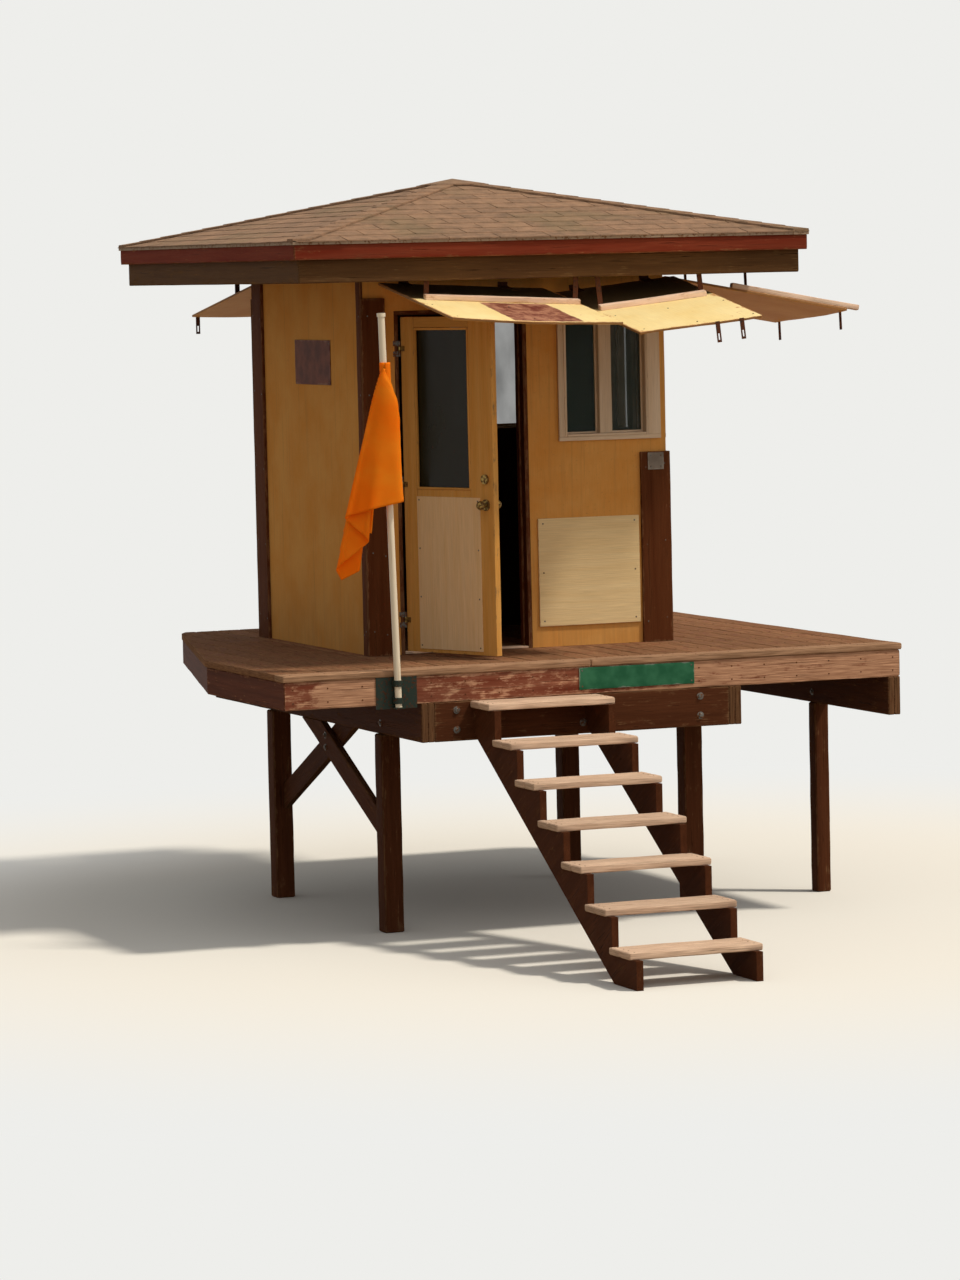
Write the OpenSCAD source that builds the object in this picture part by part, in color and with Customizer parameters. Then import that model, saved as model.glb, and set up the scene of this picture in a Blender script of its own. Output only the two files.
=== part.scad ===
// Beach lifeguard tower: a square cabin with propped shutters on a raised timber deck.
// Every module works in cabin coordinates: X runs along the front wall from the left corner,
// Y runs from the front wall to the back, and Z rises from the top of the deck.
// place() then moves the origin to the foot of the front left leg.

/* [Deck] */
// Height of the deck top above the sand
deck_h = 1540; // [900:10:2400]
// Thickness of the deck boards
deck_t = 38; // [25:1:60]
// Reach of the deck in front of the cabin
deck_front = 1020; // [700:10:1600]
// Reach of the deck behind the cabin
deck_back = 675; // [300:10:1200]
// Reach of the deck left of the cabin
deck_left = 900; // [600:10:1400]
// Reach of the deck right of the cabin
deck_right = 1005; // [600:10:1600]
// Length of the left edge, from the front corner to the cut at the back
left_run = 1320; // [800:10:2600]
// Back left corner cut, measured along the back edge
back_cut = 600; // [200:10:700]
// Overhang of the deck boards past the rim boards
deck_lip = 10; // [0:1:30]

/* [Frame under the deck] */
// Thickness of planks
plank_t = 38; // [30:1:50]
// Height of joists and rim boards
joist_h = 155; // [100:5:240]
// Distance between joists
joist_pitch = 406; // [300:1:610]
// Distance from the deck's front edge to the joist under the front ends of the deck boards
nailer_in = 121; // [90:1:200]
// Height of the girders
girder_h = 220; // [180:5:300]
// Width of a girder, made of two planks
girder_w = 76; // [60:2:120]
// Side of the left and middle legs
leg_w = 115; // [89:1:150]
// Side of the right legs
leg_w_right = 90; // [76:1:150]
// Distance from the left girder to the cabin's left wall face
girder_out = 50; // [0:5:120]
// Distance from the left and middle front legs to the cabin's front
leg_front = 360; // [150:10:600]
// Distance from a front leg to the back leg behind it
leg_span = 1835; // [1400:5:2200]
// Distance of the right front leg behind the cabin's front
leg_right_y = 5; // [0:5:200]
// Height of a brace plank
brace_h = 140; // [60:1:160]
// Drop of each brace from the girder's foot to its middle at the leg
brace_drop = 517; // [300:1:800]
// Reach of each brace along the girder, from the leg to its middle at the girder's foot
brace_run = 1102; // [700:1:1400]

/* [Stairs] */
// Number of risers from the sand to the deck
risers = 8; // [6:1:10]
// Run of one step
going = 315; // [260:5:340]
// Depth of a tread
tread_d = 275; // [230:5:290]
// Thickness of a tread
tread_t = 38; // [30:1:50]
// Left end of the treads, from the cabin's left corner
stair_x = 200; // [150:10:400]
// Length of a tread
stair_w = 760; // [600:10:900]
// Overhang of a tread past each stringer
tread_lip = 20; // [0:5:60]
// Depth of the stringer plank
stringer_d = 286; // [235:1:300]

/* [Cabin] */
// Side of the square cabin
hut = 1865; // [1800:5:2400]
// Thickness of the walls
wall_t = 95; // [70:1:120]
// Height of the walls
wall_h = 2160; // [2130:10:2400]
// Thickness of trim boards
trim_t = 19; // [12:1:25]
// Width of the front trim board at the left corner
trim_front_w = 127; // [80:1:150]
// Width of the trim boards on the side walls
trim_side_w = 165; // [80:5:200]
// Width of the trim board on the left wall at the front corner
trim_left_w = 70; // [60:5:200]
// Width of the low trim board at the front right corner
trim_low_w = 169; // [120:1:200]
// Distance from the low trim boards up to the window casings
trim_low_gap = 77; // [20:1:300]
// Distance from the trim boards under the shutters up to the top of the walls
trim_gap = 120; // [100:10:250]

/* [Door] */
// Left side of the doorway cut in the wall
doorway_x = 186; // [150:1:220]
// Width of the doorway cut
doorway_w = 814; // [760:1:850]
// Height of the wall piece over the doorway
header_h = 195; // [170:5:260]
// Thickness of the jamb and head boards
jamb_t = 25; // [18:1:35]
// Thickness of the door leaf
leaf_t = 40; // [30:1:45]
// Gap between the leaf and each jamb
leaf_gap = 7; // [6:0.5:12]
// Gap between the leaf and the head
leaf_top_gap = 10; // [6:1:20]
// Height of the leaf's lower edge
leaf_foot = 20; // [19:1:40]
// Height of the threshold
threshold_h = 12; // [6:1:14]
// Angle at which the door stands open
door_angle = 69; // [0:1:150]
// Width of the hinge stile
stile_hinge = 110; // [80:5:150]
// Width of the lock stile
stile_lock = 185; // [120:5:220]
// Height of the glass's lower edge
glass_z = 950; // [800:10:1100]
// Width of the rail above the glass
rail_top = 62; // [50:1:120]

/* [Windows] */
// Clear width of one pane
pane_w = 207; // [150:1:230]
// Clear height of a pane
pane_h = 645; // [500:5:650]
// Width of the post between the two panes
mullion_w = 82; // [40:1:100]
// Width of the narrow casing board
casing_slim = 51; // [30:1:60]
// Width of the wide casing board beside the corner
casing_wide = 95; // [60:1:120]
// Height of the sill and head casing boards
casing_h = 40; // [30:1:80]
// Distance from the top of the walls down to the window casings
window_drop = 248; // [200:1:300]
// Distance from the wide casing to the corner of the cabin
window_in = 36; // [25:1:60]
// Thickness of the casing
casing_t = 20; // [12:1:25]

/* [Shutters] */
// Length of a shutter from hinge to free edge
shutter_l = 1195; // [900:5:1300]
// Thickness of the shutter sheet
shutter_t = 15; // [12:1:20]
// Distance from the top of the walls down to the shutters' hinge line
hinge_drop = 30; // [29:1:70]
// Width of the shutter over the door
shutter_door_w = 1020; // [950:5:1060]
// Width of the shutter over the front window
shutter_window_w = 755; // [700:5:790]
// Width of each shutter on the other walls
shutter_side_w = 1000; // [850:5:1050]
// Height of the batten on a shutter
batten_h = 30; // [20:1:60]
// Depth of the batten on a shutter
batten_d = 38; // [30:1:60]
// Slope of the shutter over the door
slope_door = 9.5; // [4:0.5:12]
// Slope of the shutter over the front window
slope_window = 11; // [4:0.5:14]
// Slope of the shutter on the right wall
slope_right = 10.5; // [4:0.5:14]
// Slope of the shutters on the back wall
slope_back = 9; // [4:0.5:14]
// Sideways sag of the shutter over the door
sag_door = 3; // [0:0.5:4]
// Sideways sag of the shutter over the front window
sag_window = 6; // [0:0.5:7]
// Sideways sag of the shutter on the right wall
sag_right = 4.5; // [0:0.5:6]

/* [Roof] */
// Overhang of the roof past the walls
roof_out = 634; // [400:5:800]
// Thickness of the upper fascia board
fascia_t = 38; // [19:1:50]
// Height of the upper fascia board
fascia_h = 89; // [60:1:140]
// Height of the fascia's top above the walls
fascia_rise = 193; // [170:1:300]
// Height of the eave beam under the fascia
eave_h = 184; // [140:1:200]
// Distance from the top of the walls down to the eave beam's lower edge
eave_drop = 25; // [20:1:45]
// Rise of the roof from the fascia to the peak
roof_rise = 342; // [200:5:700]
// Upright thickness of the roof covering
roof_t = 25; // [15:1:40]
// Overhang of the roof covering past the fascia
drip = 12; // [0:1:30]
// Thickness of the ceiling sheet
ceiling_t = 12; // [9:1:19]

/* [Plates and panel] */
// Width of the pale panel under the front window
panel_w = 637; // [500:1:640]
// Height of the pale panel
panel_h = 626; // [400:1:800]
// Thickness of the pale panel
panel_t = 12; // [9:1:15]
// Height of the pale panel's lower edge
panel_z = 119; // [50:1:200]
// Width of the plate on the left wall
side_plate_w = 600; // [300:5:700]
// Height of the plate on the left wall
side_plate_h = 260; // [150:5:300]
// Distance from the left wall's front end to its plate
side_plate_y = 550; // [200:10:1000]
// Distance from the top of the walls down to the plate on the left wall
side_plate_drop = 360; // [200:10:900]
// Width of the plate on the front rim
rim_plate_w = 705; // [400:5:800]
// Height of the plate on the front rim
rim_plate_h = 125; // [80:1:130]
// Left end of the plate on the front rim
rim_plate_x = 860; // [300:10:1600]
// Side of the plate on the low trim board
corner_plate_w = 100; // [60:5:110]
// Thickness of the plates
plate_t = 5; // [3:1:10]

/* [Flag] */
// Diameter of the flag pole
pole_d = 38; // [30:1:50]
// Length of the flag pole
pole_l = 2150; // [1600:10:2600]
// Distance of the pole left of the cabin's left wall face
pole_out = 235; // [150:5:380]
// Lean of the pole to the left
pole_lean = 1.3; // [0:0.1:3]
// Length of the flag along the pole
flag_hoist = 760; // [400:10:900]
// Length of the flag away from the pole
flag_fly = 915; // [600:15:1200]
// Distance from the pole to which the limp flag's tip hangs
flag_spread = 290; // [100:10:400]

/* [Hidden] */

$fn = 48;
eps = 1;
fit = 0.3;

redwood = "#6e3a2c";
worn_red = "#8a5142";
weathered = "#8d7d6c";
ochre = "#a88350";
cream = "#efe0b4";
offwhite = "#cfc6b4";
steel = "#7b7f80";
glass_tint = "#5f6f6a";

// Levels below and above the deck
joist_top = -deck_t;
girder_top = joist_top - joist_h;
girder_foot = girder_top - girder_h;
ground = -deck_h;
ceiling_z = wall_h;
doorway_h = wall_h - header_h;
hinge_z = wall_h - hinge_drop;
eave_z = wall_h - eave_drop;
fascia_top = wall_h + fascia_rise;
trim_h = wall_h - trim_gap;

// Outline of the deck, anticlockwise from the front left corner
deck_x0 = -deck_left;
deck_x1 = hut + deck_right;
deck_y0 = -deck_front;
deck_y1 = hut + deck_back;
outline = [
    [deck_x0, deck_y0],
    [deck_x1, deck_y0],
    [deck_x1, deck_y1],
    [deck_x0 + back_cut, deck_y1],
    [deck_x0, deck_y0 + left_run]
];
rim_y = deck_y0 + deck_lip;

function unit(v) = v / norm(v);
function left_normal(v) = [-v[1], v[0]];

// The outline of a convex polygon moved inwards by d, with mitred corners
function inset(points, d) = [
    for (i = [0:len(points) - 1])
        let (
            before = points[(i + len(points) - 1) % len(points)],
            here = points[i],
            after = points[(i + 1) % len(points)],
            n1 = left_normal(unit(here - before)),
            n2 = left_normal(unit(after - here))
        )
        here + d * (n1 + n2) / (1 + n1 * n2)
];
rim_outer = inset(outline, deck_lip);
rim_inner = inset(outline, deck_lip + plank_t);

// Girder lines
girder_left = -girder_out;
girder_mid = hut - wall_t / 2;
girder_right = deck_x1 - deck_lip - girder_w / 2;

// Steps
rise = deck_h / risers;
treads_n = risers - 1;
stringer_x = [stair_x + tread_lip, stair_x + stair_w - tread_lip - plank_t];

// Doorway and leaf
clear_x = doorway_x + jamb_t;
clear_w = doorway_w - 2 * jamb_t;
clear_h = doorway_h - jamb_t;
stop_t = 12;
stop_gap = 10;
stop_y = leaf_t + stop_gap;
leaf_x = clear_x + leaf_gap;
leaf_w = clear_w - 2 * leaf_gap;
leaf_h = clear_h - leaf_top_gap - leaf_foot;
barrel_r = 6;
pin_x = clear_x + leaf_gap / 2;
pin_y = -barrel_r - 1;
hinge_h = 90;
hinge_leaf_w = 36;
hinge_leaf_t = 3;
hinge_in = 180;
hinge_levels = [leaf_foot + hinge_in, leaf_foot + leaf_h / 2, leaf_foot + leaf_h - hinge_in];
glass_t = 4;

// Window, drawn once from its narrow casing on the left
window_w = casing_slim + 2 * pane_w + mullion_w + casing_wide;
window_h = pane_h + 2 * casing_h;
window_z = wall_h - window_drop - window_h;
trim_low_h = window_z - trim_low_gap;
liner_t = 15;
pane_in = 28;

// Roof
eave_out = roof_out - fascia_t;
roof_half = hut / 2 + roof_out;
slope = roof_rise / roof_half;

// Moves the cabin coordinates so that the origin is the foot of the front left leg
module place() {
    translate([girder_out, leg_front, deck_h]) children();
}

// A block from its lowest corner
module block(x, y, z, w, d, h) {
    translate([x, y, z]) cube([w, d, h]);
}

// A profile drawn in Y and Z, run along X from x by length
module along_x(x, length) {
    translate([x, 0, 0])
        rotate([90, 0, 90])
            linear_extrude(length)
                children();
}

// The four walls as seen from outside: x from the wall's left end, y outwards negative
module on_front() {
    children();
}

module on_right() {
    translate([hut, 0, 0]) rotate([0, 0, 90]) children();
}

module on_back() {
    translate([hut, hut, 0]) rotate([0, 0, 180]) children();
}

// Deck and the frame under it
module deck() {
    color(weathered)
        translate([0, 0, -deck_t])
            linear_extrude(deck_t)
                polygon(outline);
}

// Rim board number i, mitred at both ends
module rim_board(i) {
    j = (i + 1) % len(outline);
    color(worn_red)
        translate([0, 0, girder_top])
            linear_extrude(joist_h)
                polygon([rim_outer[i], rim_outer[j], rim_inner[j], rim_inner[i]]);
}

module rim_front() {
    rim_board(0);
}

module rim_back() {
    rim_board(2);
}

module rim_sides() {
    rim_board(1);
    rim_board(4);
}

module rim_corners() {
    rim_board(3);
}

module joists() {
    first = rim_y + joist_pitch;
    last = deck_y1 - deck_lip - 2 * plank_t;
    color(redwood)
        intersection() {
            translate([0, 0, girder_top])
                linear_extrude(joist_h)
                    polygon(rim_inner);
            for (y = concat([deck_y0 + nailer_in], [for (y = [first:joist_pitch:last]) y]))
                block(deck_x0, y, girder_top, deck_x1 - deck_x0, plank_t, joist_h);
        }
}

module girders() {
    color(redwood)
        for (x = [girder_left, girder_mid, girder_right])
            block(x - girder_w / 2, rim_y, girder_foot,
                girder_w, deck_y1 - deck_lip - rim_y, girder_h);
}

// Cross beam between the left and middle girders that carries the head of the stairs
module front_beam() {
    x0 = girder_left + girder_w / 2;
    x1 = girder_mid - girder_w / 2;
    color(redwood)
        block(x0, rim_y, girder_foot, x1 - x0, plank_t, girder_h);
}

module leg(x, y, side) {
    block(x - side / 2, y - side / 2, ground, side, side, girder_foot - ground);
}

module legs() {
    color(redwood) {
        for (x = [girder_left, girder_mid], y = [-leg_front, leg_span - leg_front])
            leg(x, y, leg_w);
        for (y = [leg_right_y, leg_right_y + leg_span])
            leg(girder_right, y, leg_w_right);
    }
}

// Two knee braces under the left girder. Each one rises from a leg and passes the other,
// side by side within the width of the girder.
module leg_braces() {
    color(redwood) {
        along_x(girder_left - plank_t, plank_t)
            brace_profile();
        along_x(girder_left, plank_t)
            translate([leg_span - 2 * leg_front, 0])
                mirror([1, 0])
                    brace_profile();
    }
}

// The brace of the front leg: its end is upright at the leg and level under the girder
module brace_profile() {
    y0 = leg_w / 2 - leg_front;
    half = brace_h / 2 * norm([brace_run, brace_drop]) / brace_run;
    reach = brace_run / brace_drop;
    polygon([
        [y0, girder_foot - brace_drop - half],
        [y0 + (brace_drop + half) * reach, girder_foot],
        [y0 + (brace_drop - half) * reach, girder_foot],
        [y0, girder_foot - brace_drop + half]
    ]);
}

// Saw-tooth stair stringers that butt against the front beam and stand on the sand
module stringers() {
    pitch_l = norm([going, rise]);
    drop = stringer_d * pitch_l / going;
    under = -tread_t;
    toe = rim_y - (deck_h + under - drop) * going / rise;
    color(redwood)
        for (x = stringer_x)
            along_x(x, plank_t)
                polygon(concat(
                    [for (k = [1:treads_n], part = [0, 1])
                        [rim_y - (k - 1 + part) * going, under - k * rise]],
                    [[rim_y - treads_n * going, ground], [toe, ground],
                        [rim_y, under - drop]]
                ));
}

module treads() {
    color(offwhite)
        for (k = [1:treads_n])
            block(stair_x, rim_y - (k - 1) * going - tread_d, -k * rise - tread_t,
                stair_w, tread_d, tread_t);
}

// Walls
module left_wall() {
    color(ochre) block(0, 0, 0, wall_t, hut, wall_h);
}

module back_wall() {
    color(ochre)
        difference() {
            block(wall_t, hut - wall_t, 0, hut - wall_t, wall_t, wall_h);
            back_right_window() window_hole();
            back_left_window() window_hole();
        }
}

module right_wall() {
    color(ochre)
        difference() {
            block(hut - wall_t, wall_t, 0, wall_t, hut - 2 * wall_t, wall_h);
            right_window() window_hole();
        }
}

module front_wall_left() {
    color(ochre) block(wall_t, 0, 0, doorway_x - wall_t, wall_t, wall_h);
}

module front_wall_right() {
    x = doorway_x + doorway_w;
    color(ochre)
        difference() {
            block(x, 0, 0, hut - x, wall_t, wall_h);
            front_window() window_hole();
        }
}

module door_header() {
    color(ochre)
        block(doorway_x, 0, doorway_h, doorway_w, wall_t, wall_h - doorway_h);
}

// Trim boards wrapped round the four corners. Those on the left wall run up to the
// ceiling, those beside them stop below the shutters, and those at the right are low.
module corner_trims() {
    color(redwood) {
        trim_corner(trim_front_w, trim_h, trim_left_w, wall_h);
        translate([0, hut, 0])
            mirror([0, 1, 0])
                trim_corner(trim_front_w, trim_h, trim_side_w, wall_h);
        translate([hut, 0, 0])
            mirror([1, 0, 0])
                trim_corner(trim_low_w, trim_low_h, trim_side_w, trim_low_h);
        translate([hut, hut, 0])
            mirror([1, 0, 0])
                mirror([0, 1, 0])
                    trim_corner(trim_low_w, trim_low_h, trim_side_w, trim_low_h);
    }
}

// Two boards meeting at a corner at the origin, with the cabin towards +X and +Y
module trim_corner(front_w, front_h, side_w, side_h) {
    block(-trim_t, -trim_t, 0, front_w + trim_t, trim_t, front_h);
    block(-trim_t, 0, 0, trim_t, side_w, side_h);
}

// Door surround
module door_jambs() {
    color(redwood) {
        block(doorway_x, 0, 0, jamb_t, wall_t, clear_h);
        block(clear_x, stop_y, threshold_h, stop_t, wall_t - stop_y, clear_h - threshold_h);
        block(clear_x + clear_w, 0, 0, jamb_t, wall_t, clear_h);
        block(clear_x + clear_w - stop_t, stop_y, threshold_h,
            stop_t, wall_t - stop_y, clear_h - threshold_h);
    }
}

module door_head() {
    color(redwood)
        block(doorway_x, 0, clear_h, doorway_w, wall_t, jamb_t);
}

module door_threshold() {
    color(offwhite)
        block(clear_x, 0, 0, clear_w, wall_t, threshold_h);
}

// The part of each hinge that stays on the jamb: two barrel ends and a leaf
module door_hinges() {
    third = hinge_h / 3;
    color(steel)
        for (z = hinge_levels, part = [-1, 1])
            union() {
                translate([pin_x, pin_y, z + part * third - third / 2 + fit])
                    cylinder(r = barrel_r, h = third - 2 * fit);
                block(pin_x - hinge_leaf_w, -hinge_leaf_t, z + part * third - third / 2 + fit,
                    hinge_leaf_w, hinge_leaf_t, third - 2 * fit);
            }
}

// Turns the closed door to the angle at which it stands
module swing() {
    translate([pin_x, pin_y, 0])
        rotate([0, 0, -door_angle])
            translate([-pin_x, -pin_y, 0])
                children();
}

knob_in = 62;
knob_z = 870;
bolt_rise = 145;
glass_x = leaf_x + stile_hinge;
glass_w = leaf_w - stile_hinge - stile_lock;
glass_h = leaf_foot + leaf_h - rail_top - glass_z;

module door_leaf() {
    color(ochre)
        swing()
            difference() {
                block(leaf_x, 0, leaf_foot, leaf_w, leaf_t, leaf_h);
                block(glass_x, -eps, glass_z, glass_w, leaf_t + 2 * eps, glass_h);
            }
}

module door_glass() {
    color(glass_tint)
        swing()
            block(glass_x, (leaf_t - glass_t) / 2, glass_z, glass_w, glass_t, glass_h);
}

// Plain sheet on the lower half of the leaf
module door_panel() {
    sheet_t = 4;
    margin = 20;
    over_stile = 75;
    color(cream)
        swing()
            block(glass_x, -sheet_t, leaf_foot + margin,
                glass_w + over_stile, sheet_t, glass_z - leaf_foot - 3 * margin);
}

// Knob, deadbolt and the moving third of each hinge
module door_hardware() {
    knob_x = leaf_x + leaf_w - knob_in;
    bolt_z = knob_z + bolt_rise;
    bolt_r = 27;
    bolt_h = 14;
    third = hinge_h / 3;
    color(steel)
        swing() {
            for (side = [0, 1])
                translate([knob_x, side * leaf_t, knob_z])
                    rotate([side == 0 ? 90 : -90, 0, 0])
                        rotate_extrude()
                            knob_profile();
            translate([knob_x, 0, bolt_z])
                rotate([90, 0, 0])
                    cylinder(r = bolt_r, h = bolt_h);
            for (z = hinge_levels)
                union() {
                    translate([pin_x, pin_y, z - third / 2 + fit])
                        cylinder(r = barrel_r, h = third - 2 * fit);
                    block(pin_x, -hinge_leaf_t, z - third / 2 + fit,
                        hinge_leaf_w, hinge_leaf_t, third - 2 * fit);
                }
        }
}

// Half section of a knob: rose, neck and ball
module knob_profile() {
    rose_r = 32;
    rose_h = 8;
    neck_r = 12;
    ball_r = 26;
    ball_z = 42;
    square([rose_r, rose_h]);
    square([neck_r, ball_z]);
    intersection() {
        translate([0, ball_z]) circle(r = ball_r);
        translate([0, ball_z - ball_r]) square([ball_r, 2 * ball_r]);
    }
}

// Windows. The window is drawn with its wide casing on the right.
module front_window() {
    on_front()
        translate([hut - window_in - window_w, 0, window_z]) children();
}

module right_window() {
    on_right()
        translate([window_in + window_w, 0, window_z]) mirror([1, 0, 0]) children();
}

module back_right_window() {
    on_back()
        translate([window_in + window_w, 0, window_z]) mirror([1, 0, 0]) children();
}

// This window stands clear of the full trim board at the corner
module back_left_window() {
    on_back()
        translate([hut - trim_front_w - casing_gap - window_w, 0, window_z]) children();
}

casing_gap = 10;
liner_x = casing_slim - liner_t;
liner_w = 2 * pane_w + mullion_w + 2 * liner_t;
liner_z = casing_h - liner_t;
liner_h = pane_h + 2 * liner_t;
pane_xs = [casing_slim, casing_slim + pane_w + mullion_w];

module window_hole() {
    block(liner_x, -eps, liner_z, liner_w, wall_t + 2 * eps, liner_h);
}

module window_frame() {
    mullion_d = 60;
    difference() {
        union() {
            block(0, -casing_t, 0, window_w, casing_t, window_h);
            block(liner_x, -eps, liner_z, liner_w, wall_t + eps, liner_h);
        }
        for (x = pane_xs)
            block(x, -casing_t - eps, casing_h, pane_w, casing_t + wall_t + 2 * eps, pane_h);
        block(casing_slim, mullion_d, casing_h,
            2 * pane_w + mullion_w, wall_t - mullion_d + eps, pane_h);
    }
}

module window_panes() {
    for (x = pane_xs)
        block(x, pane_in, casing_h, pane_w, glass_t, pane_h);
}

module window_frames() {
    color(offwhite) {
        front_window() window_frame();
        right_window() window_frame();
        back_right_window() window_frame();
        back_left_window() window_frame();
    }
}

module window_glass() {
    color(glass_tint) {
        front_window() window_panes();
        right_window() window_panes();
        back_right_window() window_panes();
        back_left_window() window_panes();
    }
}

// Shutters. A shutter is drawn from x = 0 to its width, hung on a pin axis that lies
// just off the wall. sag() turns it in the plane of the wall about one end, so that the
// other end hangs lower, and tilt() slopes it down and away from the wall.
pin_off = 9;
sheet_gap = 4;
strap_w = 30;
strap_t = 5;
strap_in = 18;
strap_foot = 6;
strap_rise = 20;
hinge_plate_w = 60;
batten_end = 68;
batten_tip = 10;
batten_short = 60;
window_batten_end = 30;
edge_batten_w = 38;
edge_batten_from = 440;
edge_batten_past = 75;
edge_hasp_in = 110;
hinge_near = 160;
hinge_far = 250;
window_hinge_near = 130;
window_hinge_far = 180;
hasp_in = 40;
window_hasp_in = 130;
window_hasp_pitch = 150;

module sag(angle) {
    rotate([0, angle, 0]) children();
}

module tilt(angle) {
    translate([0, -pin_off, 0]) rotate([angle, 0, 0]) children();
}

// Height of a sloping shutter's top face at distance y from the wall
function top_at(y, angle) = -(y - pin_off) * tan(angle);

module shutter(width, angle, batten_0, batten_1) {
    tilt(angle)
        block(0, -shutter_l, -shutter_t, width, shutter_l - barrel_r - sheet_gap, shutter_t);
    front = eave_out;
    back = eave_out - batten_d;
    along_x(batten_0, batten_1 - batten_0)
        polygon([
            [-front, top_at(front, angle) - eps],
            [-back, top_at(back, angle) - eps],
            [-back, top_at(back, angle) + batten_h],
            [-front, top_at(front, angle) + batten_h]
        ]);
}

// Pin hinge of a shutter at x: a leaf up the wall, a barrel and a leaf on the sheet
module shutter_hinge(x, angle) {
    leaf_t = 3;
    wall_leaf_h = 30;
    sheet_leaf_l = 80;
    translate([x - hinge_plate_w / 2, 0, 0]) {
        translate([0, -pin_off, 0])
            rotate([0, 90, 0])
                cylinder(r = barrel_r, h = hinge_plate_w);
        block(0, -leaf_t, -leaf_t, hinge_plate_w, leaf_t, wall_leaf_h);
        block(0, -pin_off, -leaf_t, hinge_plate_w, pin_off, 2 * leaf_t);
        tilt(angle)
            block(0, -sheet_leaf_l, 0, hinge_plate_w, sheet_leaf_l, leaf_t);
    }
}

// Flat strap from the inner face of the eave beam down to the inner face of the batten
module shutter_strap(x, angle, turn) {
    low = top_at(eave_out - batten_d, angle) + strap_foot;
    high = (eave_z + strap_rise - hinge_z + x * sin(turn)) / cos(turn);
    block(x - strap_w / 2, batten_d - eave_out, low, strap_w, strap_t, high - low);
}

// Hasp that hangs from the free edge
module shutter_hasp(x, angle) {
    hasp_w = 26;
    hasp_l = 120;
    hasp_gap = 2;
    slot_w = 10;
    slot_h = 36;
    slot_up = 14;
    tip_y = -pin_off - shutter_l * cos(angle);
    tip_z = -shutter_l * sin(angle);
    translate([x - hasp_w / 2, tip_y - strap_t, tip_z - hasp_l])
        difference() {
            cube([hasp_w, strap_t, hasp_l - hasp_gap]);
            translate([(hasp_w - slot_w) / 2, -eps, slot_up])
                cube([slot_w, strap_t + 2 * eps, slot_h]);
        }
}

// Places of the five shutters, seen from outside
shutter_door_x = 90;
shutter_window_past = 62;
shutter_window_x = hut + shutter_window_past;
shutter_right_y = 0;
shutter_back_gap = 50;

module at_door_shutter() {
    on_front() translate([shutter_door_x, 0, hinge_z]) sag(sag_door) children();
}

// This shutter is drawn from its right end, so that its left end sags
module at_window_shutter() {
    on_front()
        translate([shutter_window_x, 0, hinge_z])
            sag(-sag_window)
                translate([-shutter_window_w, 0, 0])
                    children();
}

module at_right_shutter() {
    on_right() translate([shutter_right_y, 0, hinge_z]) sag(sag_right) children();
}

module at_back_left_shutter() {
    on_back() translate([hut - shutter_side_w, 0, hinge_z]) children();
}

module at_back_right_shutter() {
    on_back()
        translate([hut - 2 * shutter_side_w - shutter_back_gap, 0, hinge_z]) children();
}

module shutter_door() {
    color(cream)
        at_door_shutter()
            shutter(shutter_door_w, slope_door, batten_end, shutter_door_w - batten_tip);
}

module shutter_window() {
    color(cream)
        at_window_shutter()
            shutter(shutter_window_w, slope_window, window_batten_end,
                shutter_window_w - batten_short);
}

module side_shutter(angle, batten_0) {
    shutter(shutter_side_w, angle, batten_0, shutter_side_w - batten_end);
}

// This shutter has a second batten, along its near edge and past the free one
module shutter_right() {
    length = shutter_l + edge_batten_past - edge_batten_from;
    color(cream)
        at_right_shutter() {
            side_shutter(slope_right, edge_batten_w);
            tilt(slope_right)
                block(0, -shutter_l - edge_batten_past, -eps, edge_batten_w, length, batten_h + eps);
        }
}

module shutter_back_left() {
    color(cream) at_back_left_shutter() side_shutter(slope_back, batten_end);
}

module shutter_back_right() {
    color(cream) at_back_right_shutter() side_shutter(slope_back, batten_end);
}

module side_irons(angle, turn, batten_0, hasp_0) {
    for (x = [hinge_near, shutter_side_w - hinge_far])
        shutter_hinge(x, angle);
    for (x = [batten_0 + strap_in, shutter_side_w - batten_end - strap_in])
        shutter_strap(x, angle, turn);
    shutter_hasp(hasp_0, angle);
    shutter_hasp(shutter_side_w - hasp_in, angle);
}

module shutter_irons() {
    color(steel) {
        at_door_shutter() {
            for (x = [hinge_near, shutter_door_w - hinge_far])
                shutter_hinge(x, slope_door);
            for (x = [batten_end + strap_in, shutter_door_w - batten_tip - strap_in])
                shutter_strap(x, slope_door, sag_door);
        }
        at_window_shutter() {
            for (x = [window_hinge_near, shutter_window_w - window_hinge_far])
                shutter_hinge(x, slope_window);
            for (x = [window_batten_end + strap_in, shutter_window_w - batten_short - strap_in])
                window_strap(x);
            for (x = [0, window_hasp_pitch])
                shutter_hasp(shutter_window_w - window_hasp_in - x, slope_window);
        }
        at_right_shutter() side_irons(slope_right, sag_right, edge_batten_w, edge_hasp_in);
        at_back_left_shutter() side_irons(slope_back, 0, batten_end, hasp_in);
        at_back_right_shutter() side_irons(slope_back, 0, batten_end, hasp_in);
    }
}

module window_strap(x) {
    translate([shutter_window_w, 0, 0])
        shutter_strap(x - shutter_window_w, slope_window, -sag_window);
}

// Roof
module ceiling() {
    half = hut / 2 + eave_out - plank_t;
    color(weathered)
        block(hut / 2 - half, hut / 2 - half, ceiling_z, 2 * half, 2 * half, ceiling_t);
}

// Two opposite boards of a square ring, mitred: half is the ring's outer half side
module ring_pair(half, thick, z, height, turn) {
    translate([hut / 2, hut / 2, z])
        for (a = [0, 180])
            rotate([0, 0, turn + a])
                linear_extrude(height)
                    polygon([[-half, -half], [half, -half],
                        [half - thick, thick - half], [thick - half, thick - half]]);
}

module eave_front_back() {
    color(weathered) ring_pair(hut / 2 + eave_out, plank_t, eave_z, eave_h, 0);
}

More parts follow.
